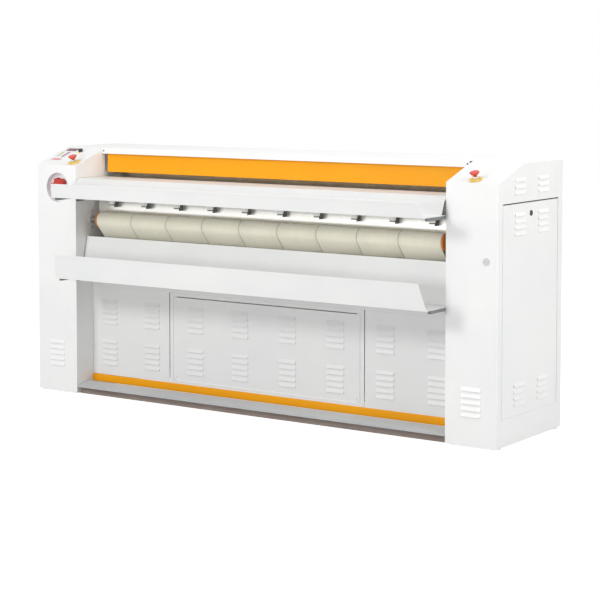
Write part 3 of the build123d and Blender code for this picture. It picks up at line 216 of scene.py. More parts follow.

# ---- Brackets ------------------------------------------------------------------------------------
# The arms and angles that carry both trays, the heater's carrier and the motor's shelf. Steel bar
# and folded sheet, powder coated, bolted to the side plates; their dark grey is painted shade, the
# shade under the trays.
dress(powder_coat("under_tray_shade_grey_coat", "#6F7172", "#7C7E7F", 0.42), "brackets")

# ---- Ironing cylinder ----------------------------------------------------------------------------
# The heated cylinder that irons the linen. Steel tube, ground and polished round its axis; its
# near-white, warm colour is a painted reflection of the bright cream surroundings.


def polished_steel():
    """A dull mirror, fine rings 0.5 mm apart drawn 3 mm apart, warm white as painted reflection."""
    ring = 0.003
    tint = 0.25
    material, tree, surface, place = new_material("polished_steel", Metallic=1.0)
    along = add_node(tree, "ShaderNodeMapping", {"Vector": place, "Scale": (1.0, 0.02, 0.02)})
    rings = add_node(tree, "ShaderNodeTexNoise",
                     {"Vector": along.outputs["Vector"], "Scale": 1 / ring,
                      "Detail": 2.0}).outputs["Fac"]
    painted_reflection_tones = add_node(tree, "ShaderNodeTexNoise",
                     {"Vector": place, "Scale": 1 / tint, "Detail": 3.0}).outputs["Fac"]
    vary(tree, surface, colour=(painted_reflection_tones, "#FAF8F1", "#FDFCF8"), roughness=(rings, 0.24, 0.34),
         relief=(rings, 0.00001))
    return material


dress(polished_steel(), "ironing_cylinder")

# ---- Heater --------------------------------------------------------------------------------------
# Six sheathed rods on a fixed tube with three round plates, inside the cylinder. Rods of heat
# resistant steel, dark from use; carrier of galvanised steel.


def scaled_steel(name, low, high, grain):
    """Dark oiled or heat-scaled steel, with blotches of the given size."""
    material, tree, surface, place = new_material(name, Metallic=1.0)
    blotches = add_node(tree, "ShaderNodeTexNoise",
                        {"Vector": place, "Scale": 1 / grain, "Detail": 6.0,
                         "Roughness": 0.6}).outputs["Fac"]
    vary(tree, surface, colour=(blotches, low, high), roughness=(blotches, 0.35, 0.6),
         relief=(blotches, 0.00003))
    return material


dress(scaled_steel("heat_scaled_steel", "#3A332F", "#5A5048", 0.012), "heater_rods")
dress(zinc, "heater_carrier")

# ---- Belt rollers --------------------------------------------------------------------------------
# Five tubes with welded ends and shafts that lead the belts round the cylinder. Turned steel,
# bright where the belts polish them.


def turned_steel():
    """Bright, with turning rings 0.6 mm apart that are drawn 2 mm apart along the shaft."""
    ring = 0.002
    material, tree, surface, place = new_material("turned_steel", Metallic=1.0)
    along = add_node(tree, "ShaderNodeMapping", {"Vector": place, "Scale": (1.0, 0.03, 0.03)})
    rings = add_node(tree, "ShaderNodeTexNoise",
                     {"Vector": along.outputs["Vector"], "Scale": 1 / ring,
                      "Detail": 3.0}).outputs["Fac"]
    vary(tree, surface, colour=(rings, "#B4B4B2", "#D2D2CF"), roughness=(rings, 0.2, 0.36),
         relief=(rings, 0.00002))
    return material


bright = turned_steel()
dress(bright, "front_belt_roller", "feed_belt_roller", "tension_roller", "low_guide_roller",
      "high_guide_roller")

# ---- Ironing belts -------------------------------------------------------------------------------
# Nine endless bands side by side that carry the linen round the cylinder. Needled felt, heat
# resistant, cream with edges browned by the heat; held taut by the five rollers.
belt_count = 9
belt_width = 0.2185
belt_thickness = 0.003
belt_pitch = 0.220
belt_edge = 0.0008          # how far its edges are rounded
belt_step = 0.010           # between sections along the belt
wrap_gap = 0.0003
wrapped_radii = (0.038, 0.026, 0.165)       # front and feed rollers, guide rollers, cylinder
hinges = {joint["name"]: joint for joint in frame["joints"]}


def hinge_place(name):
    """The (y, z) place of a hinge that runs along X."""
    return tuple(hinges[name]["pos_m"][1:])


def belt_path(rollers, drum, drum_radius):
    """A belt's middle line in (y, z): round the rollers, then back round the drum's far side."""

    def leaving(first, second):
        (start, start_radius), (end, end_radius) = first, second
        run = (end[0] - start[0], end[1] - start[1])
        return atan2(run[1], run[0]) - acos((start_radius - end_radius) / hypot(*run))

    def round_arc(centre, radius, start, sweep):
        steps = max(2, round(abs(sweep) * radius / belt_step))
        return [(centre[0] + radius * cos(start + sweep * i / steps),
                 centre[1] + radius * sin(start + sweep * i / steps)) for i in range(steps + 1)]

    first, last = rollers[0], rollers[-1]
    arrive_first = atan2(drum[1] - first[0][1], drum[0] - first[0][0])
    leave_last = atan2(drum[1] - last[0][1], drum[0] - last[0][0])
    normals = [leaving(a, b) for a, b in zip(rollers, rollers[1:])]
    points = []
    for (centre, radius), arrive, leave in zip(rollers, [arrive_first, *normals],
                                               [*normals, leave_last]):
        arc = round_arc(centre, radius, arrive, (leave - arrive) % (2 * pi))
        if points:
            last_point = points[-1]
            run = (arc[0][0] - last_point[0], arc[0][1] - last_point[1])
            count = round(hypot(*run) / belt_step)
            points += [(last_point[0] + run[0] * i / count, last_point[1] + run[1] * i / count)
                       for i in range(1, count)]
        points += arc
    start = atan2(last[0][1] - drum[1], last[0][0] - drum[0])
    end = atan2(first[0][1] - drum[1], first[0][0] - drum[0])
    points += round_arc(drum, drum_radius, start, -((start - end) % (2 * pi)))[1:-1]
    return points


def show(name, shape, material, body, smooth=True, crease=32):
    """Makes a dressed piece that rides on a body; edges over crease degrees stay sharp."""
    mesh = bpy.data.meshes.new(name)
    bmesh.ops.recalc_face_normals(shape, faces=shape.faces)
    shape.to_mesh(mesh)
    shape.free()
    if smooth:
        mesh.shade_smooth()
        mesh.set_sharp_from_angle(angle=radians(crease))
    piece = bpy.data.objects.new(name, mesh)
    bpy.context.scene.collection.objects.link(piece)
    piece.data.materials.append(material)
    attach(piece, body)
    return piece


def endless_belt(middle, path):
    """A closed band with rounded edges that follows a path of (y, z) points."""
    half_width, half_thick = belt_width / 2, belt_thickness / 2
    section = []
    for side, face in ((-1, -1), (1, -1), (1, 1), (-1, 1)):
        ends = [(side * half_width, face * (half_thick - belt_edge)),
                (side * (half_width - belt_edge), face * half_thick)]
        section += ends if side * face > 0 else ends[::-1]
    band = bmesh.new()
    rings = []
    for i, (y, z) in enumerate(path):
        before, after = path[i - 1], path[(i + 1) % len(path)]
        along = Vector((0, after[0] - before[0], after[1] - before[1])).normalized()
        out = Vector((0, along.z, -along.y))
        rings.append([band.verts.new(Vector((middle + across, y, z)) + out * lift)
                      for across, lift in section])
    for ring, following in zip(rings, rings[1:] + rings[:1]):
        for i in range(len(section)):
            j = (i + 1) % len(section)
            band.faces.new((ring[i], ring[j], following[j], following[i]))
    return band


def needled_felt():
    """Soft and matt: fibres 0.1 mm thick, drawn 1.5 mm, tracks along the band, brown edges."""
    fibre = 0.0015
    track = 0.012
    browned = 0.002         # width of the brown edge
    material, tree, surface, place = new_material("needled_felt", IOR=1.45, Sheen_Weight=0.25,
                                                  Sheen_Roughness=0.5, Roughness=0.9)
    fibres = add_node(tree, "ShaderNodeTexNoise",
                      {"Vector": place, "Scale": 1 / fibre, "Detail": 3.0,
                       "Roughness": 0.7}).outputs["Fac"]
    drawn = add_node(tree, "ShaderNodeMapping", {"Vector": place, "Scale": (1.0, 0.08, 0.08)})
    tracks = add_node(tree, "ShaderNodeTexNoise",
                      {"Vector": drawn.outputs["Vector"], "Scale": 1 / track, "Detail": 4.0})
    blend = add_node(tree, "ShaderNodeMath", {0: tracks.outputs["Fac"], 1: fibres}, operation="ADD")
    vary(tree, surface, colour=(blend.outputs[0], "#F4EFD9", "#F9F5E2"), tones_at=(0.7, 1.0),
         relief=(fibres, 0.00015))
    across = add_node(tree, "ShaderNodeSeparateXYZ", {"Vector": place}).outputs["X"]
    for operation, second in (("ADD", {1: belt_pitch / 2}), ("FLOORED_MODULO", {1: belt_pitch}),
                              ("SUBTRACT", {1: belt_pitch / 2}), ("ABSOLUTE", {})):
        across = add_node(tree, "ShaderNodeMath", {0: across, **second},
                          operation=operation).outputs[0]
    edge = add_node(tree, "ShaderNodeMapRange",
                    {"Value": across, "From Min": belt_width / 2 - browned,
                     "From Max": belt_width / 2 - browned / 3})
    cloth = surface.inputs["Base Color"].links[0].from_socket
    mixed = add_node(tree, "ShaderNodeMix", {"Factor": edge.outputs["Result"], "A": cloth,
                                             "B": linear("#DDD0BC")}, data_type="RGBA")
    tree.links.new(mixed.outputs["Result"], surface.inputs["Base Color"])
    return material


felt = needled_felt()
on_roller, on_guide, on_cylinder = (radius + wrap_gap + belt_thickness / 2
                                    for radius in wrapped_radii)
loop = belt_path(
    [(hinge_place("front_roller_spin"), on_roller), (hinge_place("tension_roller_spin"), on_guide),
     (hinge_place("low_roller_spin"), on_guide), (hinge_place("high_roller_spin"), on_guide),
     (hinge_place("feed_roller_spin"), on_roller)],
    hinge_place("cylinder_spin"), on_cylinder)
for i in range(belt_count):
    band = endless_belt((i - belt_count // 2) * belt_pitch, loop)
    belt = show(f"ironing_belt_{i + 1}", band, felt, "frame", crease=180)
    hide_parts("ironing_belts")

# ---- Bearings ------------------------------------------------------------------------------------
# Round flanged housings with ball bearings, two for each roller and for the cylinder. Grey cast
# iron, machined on its hub, each held by two screws through the side plate.


def cast_iron():
    """Sand-cast and painted: a grain of 1.2 mm under grey enamel, darker in its hollows."""
    grain = 0.0012
    material, tree, surface, place = new_material("grey_cast_iron", IOR=1.5, Metallic=0.35)
    sand = add_node(tree, "ShaderNodeTexNoise",
                    {"Vector": place, "Scale": 1 / grain, "Detail": 3.0,
                     "Roughness": 0.7}).outputs["Fac"]
    vary(tree, surface, colour=(sand, "#B4B7B9", "#CDD0D1"), tones_at=(0.35, 0.65),
         roughness=(sand, 0.4, 0.6), relief=(sand, 0.0001))
    return material


dress(cast_iron(), "bearings")

# ---- Screws --------------------------------------------------------------------------------------
# Pan heads with a cross recess: four in the service door, two in the top cover, a row round the
# rear panel, two for each roller bearing. Cold-formed, zinc plated; the top cover's blackened.


def facing(origin, normal, up=(0, 0, 1)):
    """A placement whose own Z is the normal and whose own Y leans towards up."""
    z = Vector(normal).normalized()
    x = Vector(up).cross(z).normalized()
    y = z.cross(x)
    turn = Matrix((x, y, z)).transposed().to_4x4()
    return Matrix.Translation(origin) @ turn


def turned(shape, profile, place, segments):
    """Adds a body turned from (radius, height) points, closed flat where they end off its axis."""
    rings = []
    for radius, height in profile:
        if radius == 0:
            rings.append([shape.verts.new(place @ Vector((0, 0, height)))])
        else:
            rings.append([shape.verts.new(place @ Vector((radius * cos(2 * pi * i / segments),
                                                          radius * sin(2 * pi * i / segments),
                                                          height)))
                          for i in range(segments)])
    for low, high in zip(rings, rings[1:]):
        for i in range(segments):
            j = (i + 1) % segments
            corners = [low[i % len(low)], low[j % len(low)], high[j % len(high)],
                       high[i % len(high)]]
            kept = list(dict.fromkeys(corners))
            if len(kept) > 2:
                shape.faces.new(kept)
    if len(rings[0]) > 1:
        shape.faces.new(rings[0][::-1])
    if len(rings[-1]) > 1:
        shape.faces.new(rings[-1])


def pan_head(shape, place, radius, height):
    """Adds a screw's head: a low dome with a cross pressed into it."""
    dome = [(1, 0), (1, 0.35), (0.86, 0.78), (0.55, 1), (0.5, 1), (0.15, 1), (0, 1)]
    cross_reach, cross_arm = 0.52, 0.05         # shares of the radius
    cross_floor, crown = 0.45, 0.9              # shares of the height
    start = len(shape.verts)
    turned(shape, [(out * radius, up * height) for out, up in dome], place, 16)
    inner = place.inverted()
    for vertex in list(shape.verts)[start:]:
        local = inner @ vertex.co
        in_cross = (hypot(local.x, local.y) < cross_reach * radius
                    and min(abs(local.x), abs(local.y)) < cross_arm * radius)
        if in_cross and local.z > crown * height:
            vertex.co = place @ Vector((local.x, local.y, cross_floor * height))


def show_screws(name, places, material, radius, height, body="frame"):
    """Shows a group of screws whose heads are alike."""
    heads = bmesh.new()
    for place in places:
        pan_head(heads, place, radius, height)
    return show(name, heads, material, body)


door_sheet = 0.002
door_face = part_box("service_door")[1].y - door_sheet
door_spots = [(x, z) for x in (-0.523, 0.523) for z in (0.124, 0.496)]
places = [facing((x, door_face, z), (0, -1, 0)) for x, z in door_spots]
door_screws = show_screws("service_door_screws", places, plating, radius=0.003,
                          height=0.0012)
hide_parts("screws")

# Black oxide for the top cover's screws; the same black on the guard's end flaps is painted shade.
black_oxide_and_gap_shade = scaled_steel("black_oxide_steel", "#2B2B2D", "#3C3C3F", 0.002)
cover_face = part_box("top_cover")[0].y
cover_spots = [(-1.0495, 1.2125), (1.0495, 1.2125)]
places = [facing((x, cover_face, z), (0, -1, 0)) for x, z in cover_spots]
show_screws("top_cover_screws", places, black_oxide_and_gap_shade, radius=0.004, height=0.0022)

rear_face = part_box("rear_panel")[1].y
rear_columns = (-1.290, -0.860, -0.430, 0.0, 0.430, 0.860, 1.290)
rear_spots = [(x, z) for x in rear_columns for z in (0.030, 1.200)]
rear_spots += [(x, z) for x in (-1.290, 1.290) for z in (0.420, 0.810)]
places = [facing((x, rear_face, z), (0, 1, 0)) for x, z in rear_spots]
show_screws("rear_panel_screws", places, plating, radius=0.0045, height=0.0024)

cover_seam = 0.0005
plate_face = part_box("top_cover")[1].x + cover_seam      # a side plate's inner face
bearing_lift = 0.041        # from a bearing's middle to its screw
places = []
for hinge in ("front_roller_spin", "feed_roller_spin", "tension_roller_spin", "low_roller_spin",
              "high_roller_spin"):
    y, z = hinge_place(hinge)
    places += [facing((side * plate_face, y, z + lift), (-side, 0, 0))
               for side in (-1, 1) for lift in (-bearing_lift, bearing_lift)]
show_screws("bearing_screws", places, plating, radius=0.0065, height=0.005)

# ---- Rear louvers and joint strips ---------------------------------------------------------------
# Hoods pressed out of the rear panel, open below, and two strips over its joints. Steel sheet,
# powder coated with the panel; the strips are screwed on.
hood_columns = (-0.98, -0.70, 0.0, 0.90)
hood_rows, hood_start, hood_pitch = 7, 0.860, 0.026
hood_mouth, hood_shoulder, hood_top, hood_corner = 0.002, 0.010, 0.017, 0.006
hood_layers = ((0.060, 0.0, 0.0045), (0.0585, 0.0045, 0.0060))      # half width, from, to
strip_half, strip_ends, strip_sheet = 0.017, (0.050, 1.180), 0.0012
strip_screw_start, strip_screw_pitch, strip_screw_count = 0.090, 0.210, 6
sunk = 0.0002               # into the panel's face


def oblong(across, up):
    """The outline of a rectangle between two x and two y values."""
    (left, right), (low, top) = across, up
    return [(left, low), (right, low), (right, top), (left, top)]


def prism(shape, outline, low, high, place):
    """Adds a closed prism: an outline of (x, y) points between two heights."""
    levels = [[shape.verts.new(place @ Vector((x, y, z))) for x, y in outline] for z in (low, high)]
    for i in range(len(outline)):
        j = (i + 1) % len(outline)
        shape.faces.new((levels[0][i], levels[0][j], levels[1][j], levels[1][i]))
    shape.faces.new(levels[0][::-1])
    shape.faces.new(levels[1])


hoods = bmesh.new()
for x in hood_columns:
    for row in range(hood_rows):
        place = facing((x, rear_face, hood_start + hood_pitch * row), (0, 1, 0))
        for half, low, high in hood_layers:
            outline = [(-half, hood_mouth), (half, hood_mouth), (half, hood_shoulder - low),
                       (half - hood_corner, hood_top - low), (hood_corner - half, hood_top - low),
                       (-half, hood_shoulder - low)]
            prism(hoods, outline, low - sunk, high, place)
show("rear_louvers", hoods, white_powder, "frame")
strips = bmesh.new()
places = []
for x in (-0.430, 0.430):
    place = facing((x, rear_face, 0), (0, 1, 0))
    prism(strips, oblong((-strip_half, strip_half), strip_ends), -sunk, strip_sheet, place)
    places += [facing((x, rear_face + strip_sheet, strip_screw_start + strip_screw_pitch * row),
                      (0, 1, 0)) for row in range(strip_screw_count)]
show("rear_joint_strips", strips, white_powder, "frame", smooth=False)
show_screws("rear_strip_screws", places, plating, radius=0.0045, height=0.0024)

# ---- Guard's end flaps ---------------------------------------------------------------------------
# Narrow flaps that close the gaps between the guard's ends and the side plates. Thin steel sheet,
# screwed to the guard's back; their black is painted shade, the shade in those gaps.
guard_low, guard_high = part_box("finger_guard")
guard_sheet, flap_sheet = 0.002, 0.0015
guard_back = guard_low.y + guard_sheet
flap_overlap = 0.010        # behind the guard
flap_end = 1.0555           # from the machine's middle
flap_low, flap_high = guard_low.z + 0.002, guard_high.z - 0.018
flap_screw_lifts = (0.020, 0.068)
flaps = bmesh.new()
places = []
for side in (-1, 1):
    across = (side * (guard_high.x - flap_overlap), side * flap_end)
    prism(flaps, oblong(across, (guard_back, guard_back + flap_sheet)), flap_low, flap_high,
          Matrix())
    places += [facing((side * (guard_high.x - flap_overlap / 2), guard_back + flap_sheet,
                       guard_low.z + lift), (0, 1, 0)) for lift in flap_screw_lifts]
# The flaps and their screws are black as painted shade of the gaps at the guard's ends.
show("guard_end_flaps", flaps, black_oxide_and_gap_shade, "guard", smooth=False)
show_screws("guard_flap_screws", places, black_oxide_and_gap_shade, radius=0.003, height=0.0018,
            body="guard")

# ---- Strippers -----------------------------------------------------------------------------------
# Fingers that lift the linen off the cylinder, each in a holder on one bar. Holders of white
# moulded polyamide, fingers of dark filled PTFE, bar of ground steel.


def moulded_plastic(name, low, high, roughness, coat=0.0):
    """Moulded plastic: even colour, a spark-eroded skin of 0.8 mm grain and a soft gloss."""
    grain = 0.0008
    streak = 1 / 60         # 17 mm, where the melt flowed
    material, tree, surface, place = new_material(name, IOR=1.49, Coat_Weight=coat,
                                                  Coat_Roughness=0.08)
    skin = add_node(tree, "ShaderNodeTexNoise",
                    {"Vector": place, "Scale": 1 / grain, "Detail": 2.0,
                     "Roughness": 0.6}).outputs["Fac"]
    flow = add_node(tree, "ShaderNodeTexNoise",
                    {"Vector": place, "Scale": 1 / streak, "Detail": 4.0}).outputs["Fac"]
    vary(tree, surface, colour=(flow, low, high),
         roughness=(skin, roughness - 0.05, roughness + 0.08), relief=(skin, 0.00003))
    return material


dress(moulded_plastic("white_polyamide", "#EFEEEA", "#F6F5F1", 0.4), "stripper_holders")
dress(moulded_plastic("dark_filled_ptfe", "#565658", "#666668", 0.5), "stripper_fingers")
dress(bright, "stripper_bar")

# ---- Emergency stops -----------------------------------------------------------------------------
# A latching mushroom button on each column: red moulded cap, yellow disc and a chromed neck that
# passes through the sheet, clamped from behind.
front_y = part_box("column_cover_left")[0].y
upright_top = 1.145         # of a column's front, where the slope begins
slope = radians(18.9)
uphill = Vector((0, cos(slope), sin(slope)))
off_slope = Vector((0, -sin(slope), cos(slope)))
disc_profile = [(0.0285, 0), (0.029, 0.0006), (0.029, 0.0022), (0.0282, 0.003), (0.0132, 0.003),
                (0.0132, 0)]
neck_profile = [(0.011, -0.030), (0.011, 0), (0.013, 0.0005), (0.013, 0.0065), (0.0121, 0.0072),
                (0.0121, 0.0082), (0.013, 0.0089), (0.013, 0.0142), (0.0124, 0.015),
                (0.0074, 0.015), (0.0074, -0.030)]
cap_profile = [(0, 0.006), (0.007, 0.006), (0.007, 0.021), (0.0124, 0.021), (0.0132, 0.0216),
               (0.0212, 0.0300), (0.0219, 0.0311), (0.022, 0.0326), (0.0215, 0.0342),
               (0.0202, 0.0352), (0.0175, 0.0358), (0.0100, 0.0360), (0, 0.0360)]


def on_slope(x, depth):
    """A placement on the sloping surface, at a depth behind its lower edge, own Y uphill."""
    return facing(Vector((x, front_y + depth, upright_top + depth * tan(slope))), off_slope, uphill)


def chrome_plate():
    """A bright mirror on moulded plastic, slightly orange-peeled at 3 mm."""
    peel = 1 / 330          # 3 mm
    material, tree, surface, place = new_material("chrome_plate", Metallic=1.0)
    skin = add_node(tree, "ShaderNodeTexNoise",
                    {"Vector": place, "Scale": 1 / peel, "Detail": 1.0}).outputs["Fac"]
    vary(tree, surface, colour=(skin, "#C9CACC", "#DADBDC"), roughness=(skin, 0.12, 0.2),
         relief=(skin, 0.00001))
    return material


stop_red = moulded_plastic("signal_red_plastic", "#CE3826", "#D6402B", 0.36, coat=0.1)
stop_yellow = moulded_plastic("signal_yellow_plastic", "#EAC53A", "#EFCB42", 0.38)
chrome = chrome_plate()


def turned_piece(name, profile, place, segments, material, body):
    """Shows one turned piece."""
    shape = bmesh.new()
    turned(shape, profile, place, segments)
    return show(name, shape, material, body)


for side, x, depth in (("left", -1.100, 0.042), ("right", 1.185, 0.039)):
    seat = on_slope(x, depth)
    disc = turned_piece(f"stop_disc_{side}", disc_profile, seat, 48, stop_yellow, "frame")
    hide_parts("stop_bases")
    turned_piece(f"stop_neck_{side}", neck_profile, seat, 40, chrome, "frame")
    cap = turned_piece(f"stop_cap_{side}", cap_profile, seat, 48, stop_red, f"stop_{side}")
    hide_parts(f"stop_button_{side}")

# ---- Control panel -------------------------------------------------------------------------------
# A film keypad on the left slope with a dark display window and a few plain coloured fields.
# Printed polyester film on an aluminium plate, glued down; the window is tinted acrylic.


def printed_film(name, low, high, roughness=0.28):
    """Polyester film: smooth and even, with a very fine matt grain of 0.5 mm."""
    grain = 0.0005
    material, tree, surface, place = new_material(name, IOR=1.4)
    skin = add_node(tree, "ShaderNodeTexNoise",
                    {"Vector": place, "Scale": 1 / grain, "Detail": 1.0}).outputs["Fac"]
    vary(tree, surface, colour=(skin, low, high),
         roughness=(skin, roughness - 0.05, roughness + 0.05), relief=(skin, 0.00001))
    return material


def film_field(name, material, x_range, depth_range, corner=0.0012, lift=0.0015):
    """A thin rounded field that lies on the keypad, between two places across and two depths."""
    above, below = 0.0003, 0.0004       # from its lift
    middle = on_slope(sum(x_range) / 2, sum(depth_range) / 2)
    half = ((x_range[1] - x_range[0]) / 2, (depth_range[1] - depth_range[0]) / 2 / cos(slope))
    field = bmesh.new()
    outline = []
    for sx, sy in ((1, 1), (-1, 1), (-1, -1), (1, -1)):
        for i in range(5):
            angle = atan2(sy, sx) - pi / 4 + pi / 8 * i
            outline.append((sx * (half[0] - corner) + corner * cos(angle),
                            sy * (half[1] - corner) + corner * sin(angle)))
    prism(field, outline, lift - below, lift + above, middle)
    show(name, field, material, "frame")


dress(printed_film("light_grey_film", "#E6E7E8", "#ECEDED"), "control_panel")
film_field("display_window", printed_film("tinted_acrylic", "#640C30", "#6E1238", 0.2),
           (-1.2775, -1.2125), (0.1812, 0.2103), lift=0.0007)
film_field("stop_field", printed_film("rose_film", "#EE8290", "#F28E9A"), (-1.268, -1.216),
           (0.065, 0.079))
film_field("heat_bar", printed_film("maroon_film", "#A41E4A", "#AE2852"), (-1.239, -1.232),
           (0.103, 0.167))
film_field("speed_bar", printed_film("lime_film", "#CFD84A", "#D7DF56"), (-1.279, -1.272),
           (0.112, 0.165))
film_field("start_field", printed_film("grey_film", "#A2A6AA", "#AAAEB2"), (-1.2720, -1.2640),
           (0.0595, 0.0625), corner=0.0008)

# ---- Mode knob and pilot lamp --------------------------------------------------------------------
# A black fluted knob with a white pointer and a small yellow lens beside it, both on the slope.
# Moulded polyamide, pushed on its shaft; lens of tinted polycarbonate.
knob_seat = on_slope(-1.177, 0.181)
flutes, flute_depth, around = 12, 0.0011, 96
knob_levels = [(0.0003, 0.0118, 0), (0.0012, 0.012, flute_depth), (0.0102, 0.0114, flute_depth),
               (0.0116, 0.0106, flute_depth), (0.0121, 0.0092, 0)]      # height, radius, flutes
knob_shaft = [(0, -0.012), (0.006, -0.012), (0.006, 0.0003), (0, 0.0003)]
pointer_half, pointer_reach, pointer_faces = 0.0007, (0.003, 0.0088), (0.0118, 0.0123)
knob = bmesh.new()
rings = []
for height, radius, depth in knob_levels:
    ring = []
    for i in range(around):
        angle = 2 * pi * i / around
        reach = radius - depth * max(0.0, cos(flutes * angle))
        ring.append(knob.verts.new(knob_seat @ Vector((reach * cos(angle), reach * sin(angle),
                                                        height))))
    rings.append(ring)
for low, high in zip(rings, rings[1:]):
    for i in range(around):
        j = (i + 1) % around
        knob.faces.new((low[i], low[j], high[j], high[i]))
knob.faces.new(rings[0][::-1])
knob.faces.new(rings[-1])
turned(knob, knob_shaft, knob_seat, 24)
black_plastic = moulded_plastic("black_polyamide", "#1E1E1F", "#29292A", 0.42)
knob = show("mode_knob_cap", knob, black_plastic, "knob")
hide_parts("mode_knob")
pointer = bmesh.new()
prism(pointer, oblong((-pointer_half, pointer_half), pointer_reach), *pointer_faces, knob_seat)
show("mode_knob_pointer", pointer, printed_film("white_ink", "#F0F0EE", "#F6F6F4"), "knob",
     smooth=False)
dress(moulded_plastic("amber_polycarbonate", "#EBC022", "#F2CC35", 0.2, coat=0.5), "pilot_lamp")

# ---- Isolator ------------------------------------------------------------------------------------
# The main switch: a red fluted hand wheel in a round recess in the left column's front. Wheel of
# moulded plastic on a steel shaft; recess of pressed plastic, light grey.
dress(moulded_plastic("light_grey_abs", "#E4E4E6", "#EAEAEC", 0.38), "isolator_dish")
dress(moulded_plastic("isolator_red_plastic", "#B42A1C", "#BD3122", 0.38, coat=0.1),
      "isolator_knob")

# ---- Door locks and plug -------------------------------------------------------------------------
# A round quarter-turn lock with a slot in each side door, and a grey plug that closes the hole for
# the hand crank. Locks of black moulded polyamide, plug of grey plastic, pressed in.
dress(black_plastic, "door_lock_left", "door_lock_right")
dress(moulded_plastic("mid_grey_plastic", "#C6C7C9", "#CFD0D1", 0.4), "crank_hole_cap")

# ---- Drive ---------------------------------------------------------------------------------------
# In the right column: a gearmotor on a shelf turns the cylinder through a roller chain. Sprockets
# and chain of hardened steel, oiled and dark; motor and gear housing of die-cast aluminium.


def cast_aluminium():
    """Die-cast: light grey, with a faint flow pattern 25 mm long and a fine skin."""
    flow = 0.025
    material, tree, surface, place = new_material("cast_aluminium", Metallic=1.0)
    flows = add_node(tree, "ShaderNodeTexNoise",
                     {"Vector": place, "Scale": 1 / flow, "Detail": 7.0,
                      "Roughness": 0.6}).outputs["Fac"]
    vary(tree, surface, colour=(flows, "#B9BCBE", "#CDD0D1"), roughness=(flows, 0.42, 0.6),
         relief=(flows, 0.0001))
    return material


oiled = scaled_steel("oiled_steel", "#4A4744", "#6A6662", 0.010)
dress(oiled, "cylinder_sprocket", "motor_sprocket")
aluminium = cast_aluminium()
dress(aluminium, "gearmotor")

# ---- Roller chain --------------------------------------------------------------------------------
# Ninety-two links of 12.7 mm over both sprockets: inner plates with rollers, outer plates with
# pins. Hardened steel, oiled; riveted, and hung on the sprockets when the machine is assembled.
links = 92
chain_pitch = 0.0127
link_sheet = 0.0007
link_end, link_waist = 0.0055, 0.0040       # half heights of a plate
link_stagger = 0.0008       # inner plates lie this far inside the outer ones
chain_rounds = ((0.0038, 0.0016), (0.0018, -0.0004))    # roller and pin: radius, inset
large, small = (chain_pitch / 2 / sin(pi / teeth) for teeth in (60, 16))
(wheel_y, wheel_z), (motor_y, motor_z) = hinge_place("cylinder_spin"), hinge_place("motor_spin")
lean = (large - small) / (wheel_z - motor_z)        # sine of the straight runs' slant
slant = atan2(lean, (1 - lean ** 2) ** 0.5)
round_large = large * (pi / 2 + slant)
straight = (wheel_z - motor_z) * cos(slant)
half_chain = round_large + straight + small * (pi / 2 - slant)


def chain_point(distance):
    """The (y, z) place of the chain at a distance down the back from its top."""
    if distance > half_chain:
        y, z = chain_point(2 * half_chain - distance)
        return 2 * wheel_y - y, z
    if distance < round_large:
        angle = pi / 2 - distance / large
        return wheel_y + large * cos(angle), wheel_z + large * sin(angle)
    if distance < round_large + straight:
        share = (distance - round_large) / straight
        radius = large + (small - large) * share
        middle = wheel_z + (motor_z - wheel_z) * share
        return wheel_y + radius * cos(slant), middle - radius * sin(slant)
    angle = -slant - (distance - round_large - straight) / small
    return motor_y + small * cos(angle), motor_z + small * sin(angle)


def link_head(pin, heading, turns):
    """The round end of a link's plate about its pin, seen from the side."""
    return [(pin[0] + link_end * cos(heading + radians(turn)),
             pin[1] + link_end * sin(heading + radians(turn))) for turn in turns]


chain_x = [corner.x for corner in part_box("drive_chain")]
pins = [chain_point(2 * half_chain * i / links) for i in range(links)]
chain = bmesh.new()
flat = facing((0, 0, 0), (1, 0, 0))
for i, (start, end) in enumerate(zip(pins, pins[1:] + pins[:1])):
    heading = atan2(end[1] - start[1], end[0] - start[0])
    waist = Vector(((start[0] + end[0]) / 2, (start[1] + end[1]) / 2))
    across = Vector((-sin(heading), cos(heading))) * link_waist
    outline = [*link_head(start, heading, range(75, 286, 30)), tuple(waist - across),
               *link_head(end, heading, range(-105, 106, 30)), tuple(waist + across)]
    inset = link_stagger * (i % 2)
    prism(chain, outline, chain_x[0] + inset, chain_x[0] + inset + link_sheet, flat)
    prism(chain, outline, chain_x[1] - inset - link_sheet, chain_x[1] - inset, flat)
    for radius, inset in chain_rounds:
        ring = [(start[0] + radius * cos(pi * k / 6), start[1] + radius * sin(pi * k / 6))
                for k in range(12)]
        prism(chain, ring, chain_x[0] + inset, chain_x[1] - inset, flat)
chain = show("roller_chain", chain, oiled, "frame")
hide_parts("drive_chain")

# ---- Motor's ribs, cowl and terminal box ---------------------------------------------------------
# Cooling ribs along the motor, a cowl over its fan, a box for its wires and a bearing cover on the
# gear housing. Die-cast aluminium; box and cover held by zinc-plated screws.
motor_low, motor_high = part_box("gearmotor")
motor_back = motor_high.y
motor_axis = facing(((motor_low.x + motor_high.x) / 2, 0, motor_z), (0, 1, 0))
gear_face = facing((motor_high.x, motor_y, motor_z), (1, 0, 0))
rib_count, rib_half = 30, 0.001
rib_profile = ((0.0485, -1), (0.0535, -0.7), (0.0535, 0.7), (0.0485, 1))    # radius, half widths
rib_ends = (motor_back - 0.168, motor_back - 0.044)
cowl = [(0.0490, -0.041), (0.0535, -0.040), (0.0535, -0.003), (0.0510, 0), (0.0200, 0.0015),
        (0, 0.0015)]
box_outline = [(-0.034, 0.046), (0.034, 0.046), (0.034, 0.074), (0.031, 0.077), (-0.031, 0.077),
               (-0.034, 0.074)]
box_ends = (motor_back - 0.150, motor_back - 0.080)
lid_top = 0.0795
